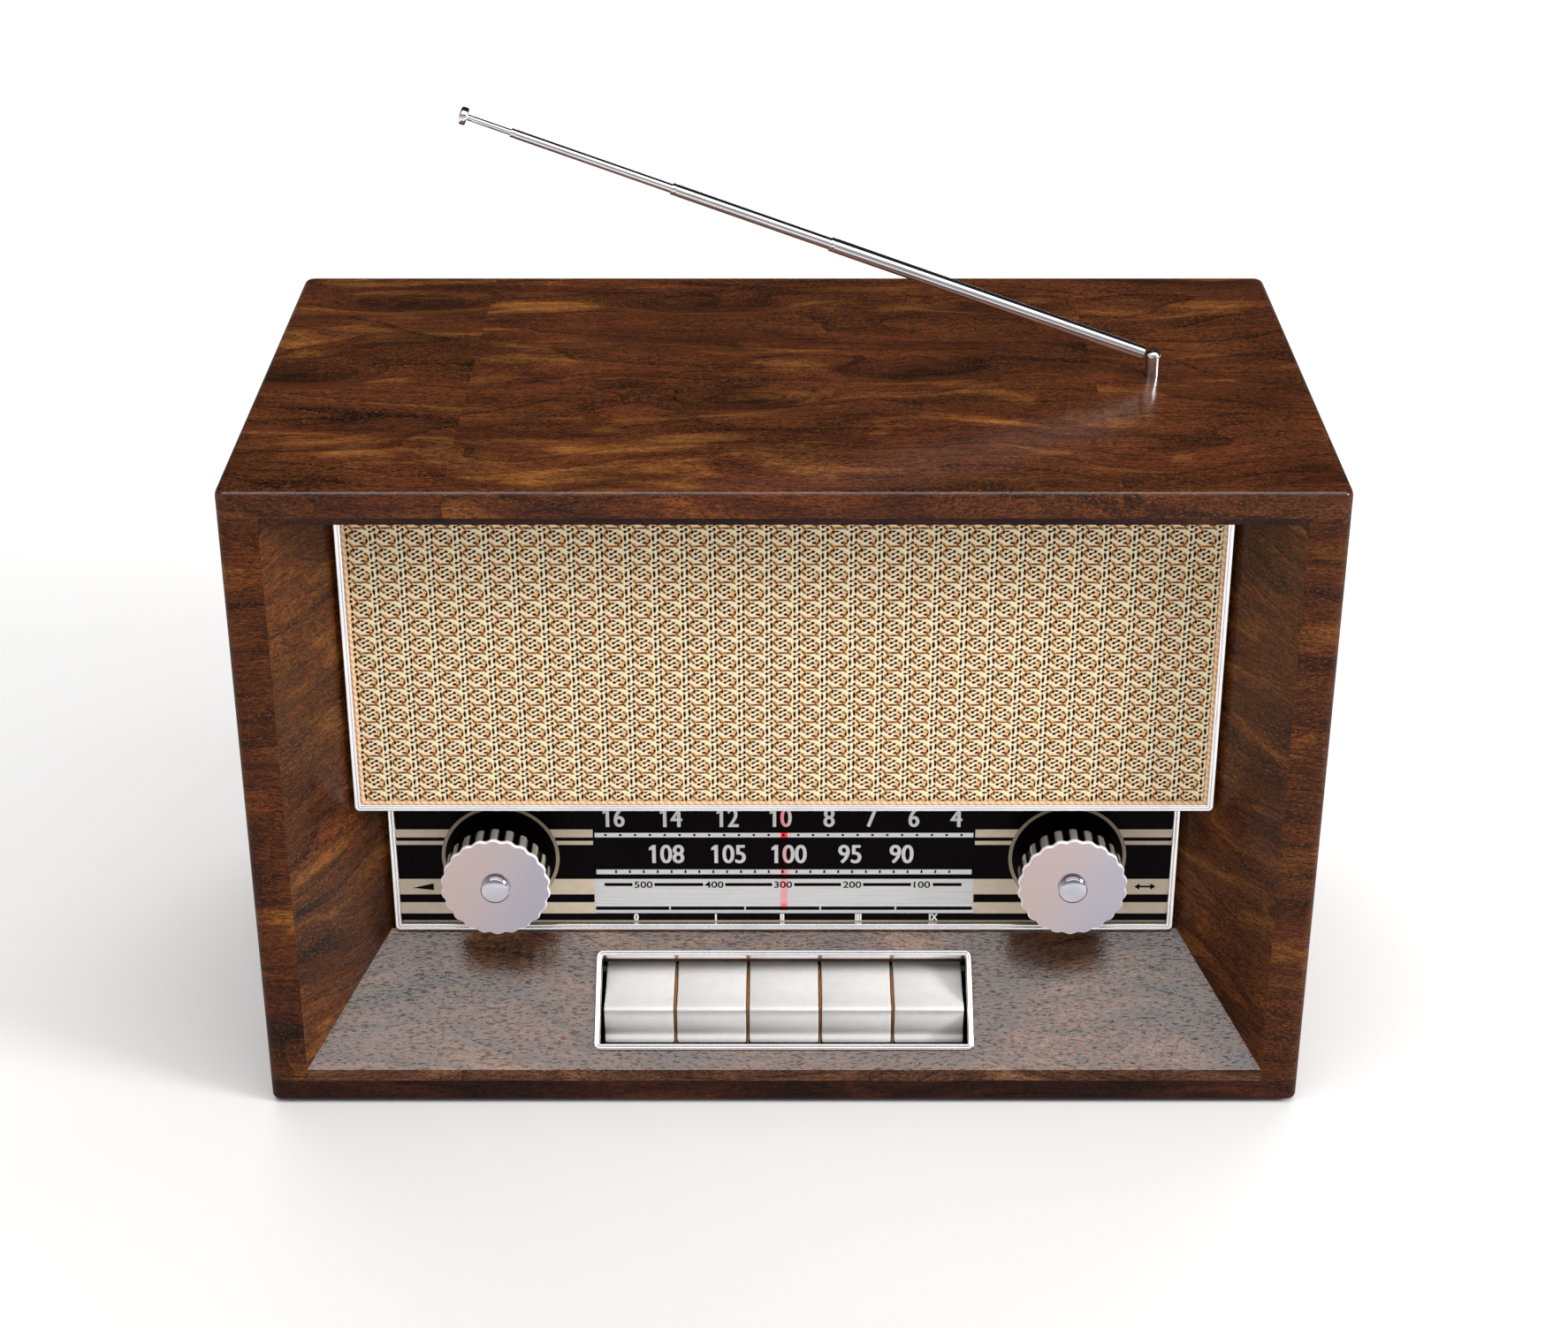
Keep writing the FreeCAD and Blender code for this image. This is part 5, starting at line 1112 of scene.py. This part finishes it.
def colour_prints():
    """The film behind the black, and the cream, grey, white and black marks in front of it."""
    film = box_line(-PANEL_HALF - 0.4, PANEL_HALF + 0.4, FILM_ROW)
    print_sheet("dial_silver_film", [film], FILM_LAYER, "dial_film")
    print_sheet("dial_cream_stripes", stripe_lines(), COLOUR_LAYER, "cream_print")
    for name, side in (("volume_ring_print", -1), ("tuner_ring_print", 1)):
        lines = [circle_line(side * KNOB_X, RING_HEIGHT, radius, 96)
                 for radius in (RING_RADIUS, RING_RADIUS - RING_LINE)]
        print_sheet(name, lines, RING_LAYER, "ring_print")
    for text, x in LONG_WAVE.items():
        curve = text_curve(text)
        curve.offset = 0.012
        flat_piece("dial_number_" + text, curve, COLOUR_LAYER, "black_print", (x, LONG_WAVE_ROW, 1.2))
    marks = []
    for text, x in BAND_MARKS.items():
        marks += glyph_lines(text, x, BAND_MARK_ROW, 0.8, (0.17, 0.07))
    print_sheet("dial_band_marks", marks, MARK_LAYER, "white_print")
    foot = box_line(-DIAL_REACH + 1.2, DIAL_REACH - 1.2, FOOT_LINE)
    print_sheet("dial_foot_line", [foot], COLOUR_LAYER, "ring_print")
    wedge = [(-139.0, 64.9), (-131.0, 64.0), (-131.0, 66.9)]
    arrows = [(131.0, 65.5), (133.0, 66.9), (133.0, 65.9), (137.0, 65.9), (137.0, 66.9),
              (139.0, 65.5), (137.0, 64.1), (137.0, 65.1), (133.0, 65.1), (133.0, 64.1)]
    print_sheet("dial_pictograms", [wedge, arrows], MARK_LAYER, "black_print")


black_print()
colour_prints()


# ---------------------------------------------------------------- aerial

AERIAL_TILT = math.radians(20)
AERIAL = Vector((-math.cos(AERIAL_TILT), 0, math.sin(AERIAL_TILT)))
# Each section's node, body and radius, and its start and end along the aerial from the hinge.
SECTIONS = [("antenna_tube_1", "antenna_section_1", 2.6, 4.0, 125.6),
            ("antenna_tube_2", "antenna_section_2", 2.15, 70.6, 185.4),
            ("antenna_tube_3", "antenna_section_3", 1.65, 133.4, 245.0),
            ("antenna_tube_4", "antenna_section_4", 1.1, 156.0, 260.8)]
TUBE_PLUG = 8.0
BORE_GAP = 0.05
AXIS = 0.05


def tube_section(number):
    """The closed section of one of the aerial's tubes: the first is plugged at its foot, the next
    two are open at both ends, and the last is a solid rod."""
    _, _, radius, start, end = SECTIONS[number]
    outside = [(radius, start + 0.3), (radius, end - 2.0), (radius - 0.1, end - 1.8),
               (radius - 0.1, end - 1.5), (radius, end - 1.3), (radius, end - 0.25),
               (radius - 0.08, end - 0.06)]
    if number == len(SECTIONS) - 1:
        return [(AXIS, start), (radius - 0.3, start)] + outside + [(AXIS, end)]
    bore = SECTIONS[number + 1][2] + BORE_GAP
    if number > 0:
        return [(bore, start)] + outside + [(bore, end), (bore, start)]
    plug = start + TUBE_PLUG
    return [(bore, start)] + outside + [(bore, end), (bore, plug), (AXIS, plug), (AXIS, start)]


def aerial():
    """The telescopic aerial's four sections and its tip."""
    low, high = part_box("antenna_hinge_pin")
    hinge = (low + high) / 2
    side = Vector((0, 1, 0))
    over = AERIAL.cross(side)

    def put(u, v, along):
        return hinge + AERIAL * along * MM + side * u * MM + over * v * MM

    for number, (node, body, *_) in enumerate(SECTIONS):
        rings = turned_rings(tube_section(number), put, 40)
        piece(node + "_drawn", loft(rings, wrap=True), "antenna_chrome", body, [node], 50.0)
    tip = [(1.2, 260.8), (2.6, 260.8), (3.1, 261.1), (3.2, 261.6), (3.2, 263.0), (2.9, 263.5),
           (2.2, 263.75), (AXIS, 263.8)]
    piece("antenna_tip_turned", loft(turned_rings(tip, put, 40)), "antenna_chrome",
          "antenna_section_4", ["antenna_tip"], 50.0)


aerial()


# ---------------------------------------------------------------- CAD nodes that stay

OWN_FINISH = {"left_cheek": "walnut_cheek", "right_cheek": "walnut_cheek", "head_rail": "walnut_rail",
              "sloping_sill": "walnut_sill", "antenna_post": "antenna_chrome"}


def dress_cad_nodes():
    """Gives every CAD node that still shows its own finish, or else the finish of its slot."""
    slots = {}
    for entry in frame["record"]["materials"]:
        slots.update(dict.fromkeys(entry.get("nodes", ()), entry["slot"]))
    for name, thing in frame["nodes"].items():
        if thing.hide_render:
            continue
        finish = OWN_FINISH.get(name) or slots.get(name) or thing.material_slots[0].name
        for holder in thing.material_slots:
            holder.material = FINISH[finish if finish in FINISH else "black_plastic"]


dress_cad_nodes()


# ---------------------------------------------------------------- floor, light and camera

FLOOR_REACH = 30.0


def floor():
    """The pale floor, which brightens far away until it meets the backdrop."""
    look = Look("studio_floor", Roughness=0.75, Specular_IOR_Level=0.2, Emission_Color=(1, 1, 1, 1))
    cloud = look.noise(2.0, 2)
    look.give(Base_Color=look.ramp(cloud, (0.3, (0.87, 0.865, 0.865, 1)), (0.7, (0.90, 0.895, 0.895, 1))),
              Emission_Strength=look.smooth(look.length(look.place), 1.0, 3.0, 0.0, 0.6))
    mesh = bpy.data.meshes.new("studio_floor")
    corners = [(x * FLOOR_REACH, y * FLOOR_REACH, 0) for x, y in ((-1, -1), (1, -1), (1, 1), (-1, 1))]
    mesh.from_pydata(corners, [], [(0, 1, 2, 3)])
    mesh.materials.append(look.material)
    ground = placed("studio_floor", mesh)


def softbox(name, place, target, size, radiance, colour=(1, 1, 1)):
    """A rectangular light that faces target, with the given brightness."""
    light = bpy.data.lights.new(name, "AREA")
    light.shape = "RECTANGLE"
    light.size, light.size_y = size
    light.energy = radiance * math.pi * size[0] * size[1]
    light.color = colour
    lamp = placed(name, light)
    lamp.location = place
    lamp.rotation_euler = (Vector(target) - Vector(place)).to_track_quat("-Z", "Y").to_euler()
    lamp.visible_camera = False
    return lamp


def lights():
    """A big softbox over the front, a key light from the right, a weak fill and a wash of light on
    the floor behind, which doesn't mirror in the lacquer."""
    softbox("overhead_box", (0.15, -0.50, 1.25), (0.15, -0.1, 0.1), (2.2, 0.7), 2.2, (1.0, 0.993, 0.987))
    softbox("key_box", (1.52, -0.74, 0.93), (0.0, -0.05, 0.12), (0.5, 0.5), 24.5, (1.0, 0.984, 0.965))
    softbox("fill_box", (-1.5, -0.9, 0.6), (0.0, -0.05, 0.12), (0.8, 0.8), 0.5, (1.0, 0.93, 0.95))
    wash = softbox("floor_wash", (0.0, 1.7, 1.7), (0.0, 1.3, 0.0), (3.4, 1.6), 2.3)
    wash.visible_glossy = False


def surround():
    """A pale surround that lights evenly, is seen as a white backdrop, and that glossy surfaces see
    as a dim room with its brighter side in front."""
    world = bpy.data.worlds.new("studio")
    world.use_nodes = True
    world.node_tree.nodes.clear()
    bpy.context.scene.world = world
    graph = Graph(world.node_tree)

    def background(colour, strength):
        return graph.node("ShaderNodeBackground", {0: colour, 1: strength}).outputs[0]

    backwards = graph.split(graph.node("ShaderNodeTexCoord").outputs["Generated"])[1]
    dimming = graph.node("ShaderNodeMapRange", {"Value": backwards, "From Min": 0.1, "From Max": -0.35,
                                                "To Min": 0.015, "To Max": 0.35}).outputs[0]
    ray = graph.node("ShaderNodeLightPath")
    seen = graph.node("ShaderNodeMixShader", {0: ray.outputs["Is Glossy Ray"],
                                              1: background((1.0, 1.0, 1.0, 1), 0.4),
                                              2: background((1.0, 0.98, 1.0, 1), dimming)})
    shown = graph.node("ShaderNodeMixShader", {0: ray.outputs["Is Camera Ray"], 1: seen.outputs[0],
                                               2: background((0.95, 0.95, 0.95, 1), 1.0)})
    graph.node("ShaderNodeOutputWorld", {"Surface": shown.outputs[0]})


CAMERA_PLACE = (0.0, -0.98853, 0.63496)
CAMERA_PITCH = math.radians(62.89)
CAMERA_LENS = 66.5


def camera():
    """A camera in front of the radio and above it, square to its front."""
    lens = bpy.data.cameras.new("camera")
    lens.lens = CAMERA_LENS
    lens.sensor_width = 36.0
    eye = placed("camera", lens)
    eye.location = CAMERA_PLACE
    eye.rotation_euler = (CAMERA_PITCH, 0.0, 0.0)
    bpy.context.scene.camera = eye


floor()
lights()
surround()
camera()
bpy.context.scene.view_settings.view_transform = "Standard"

bpy.context.view_layer.update()
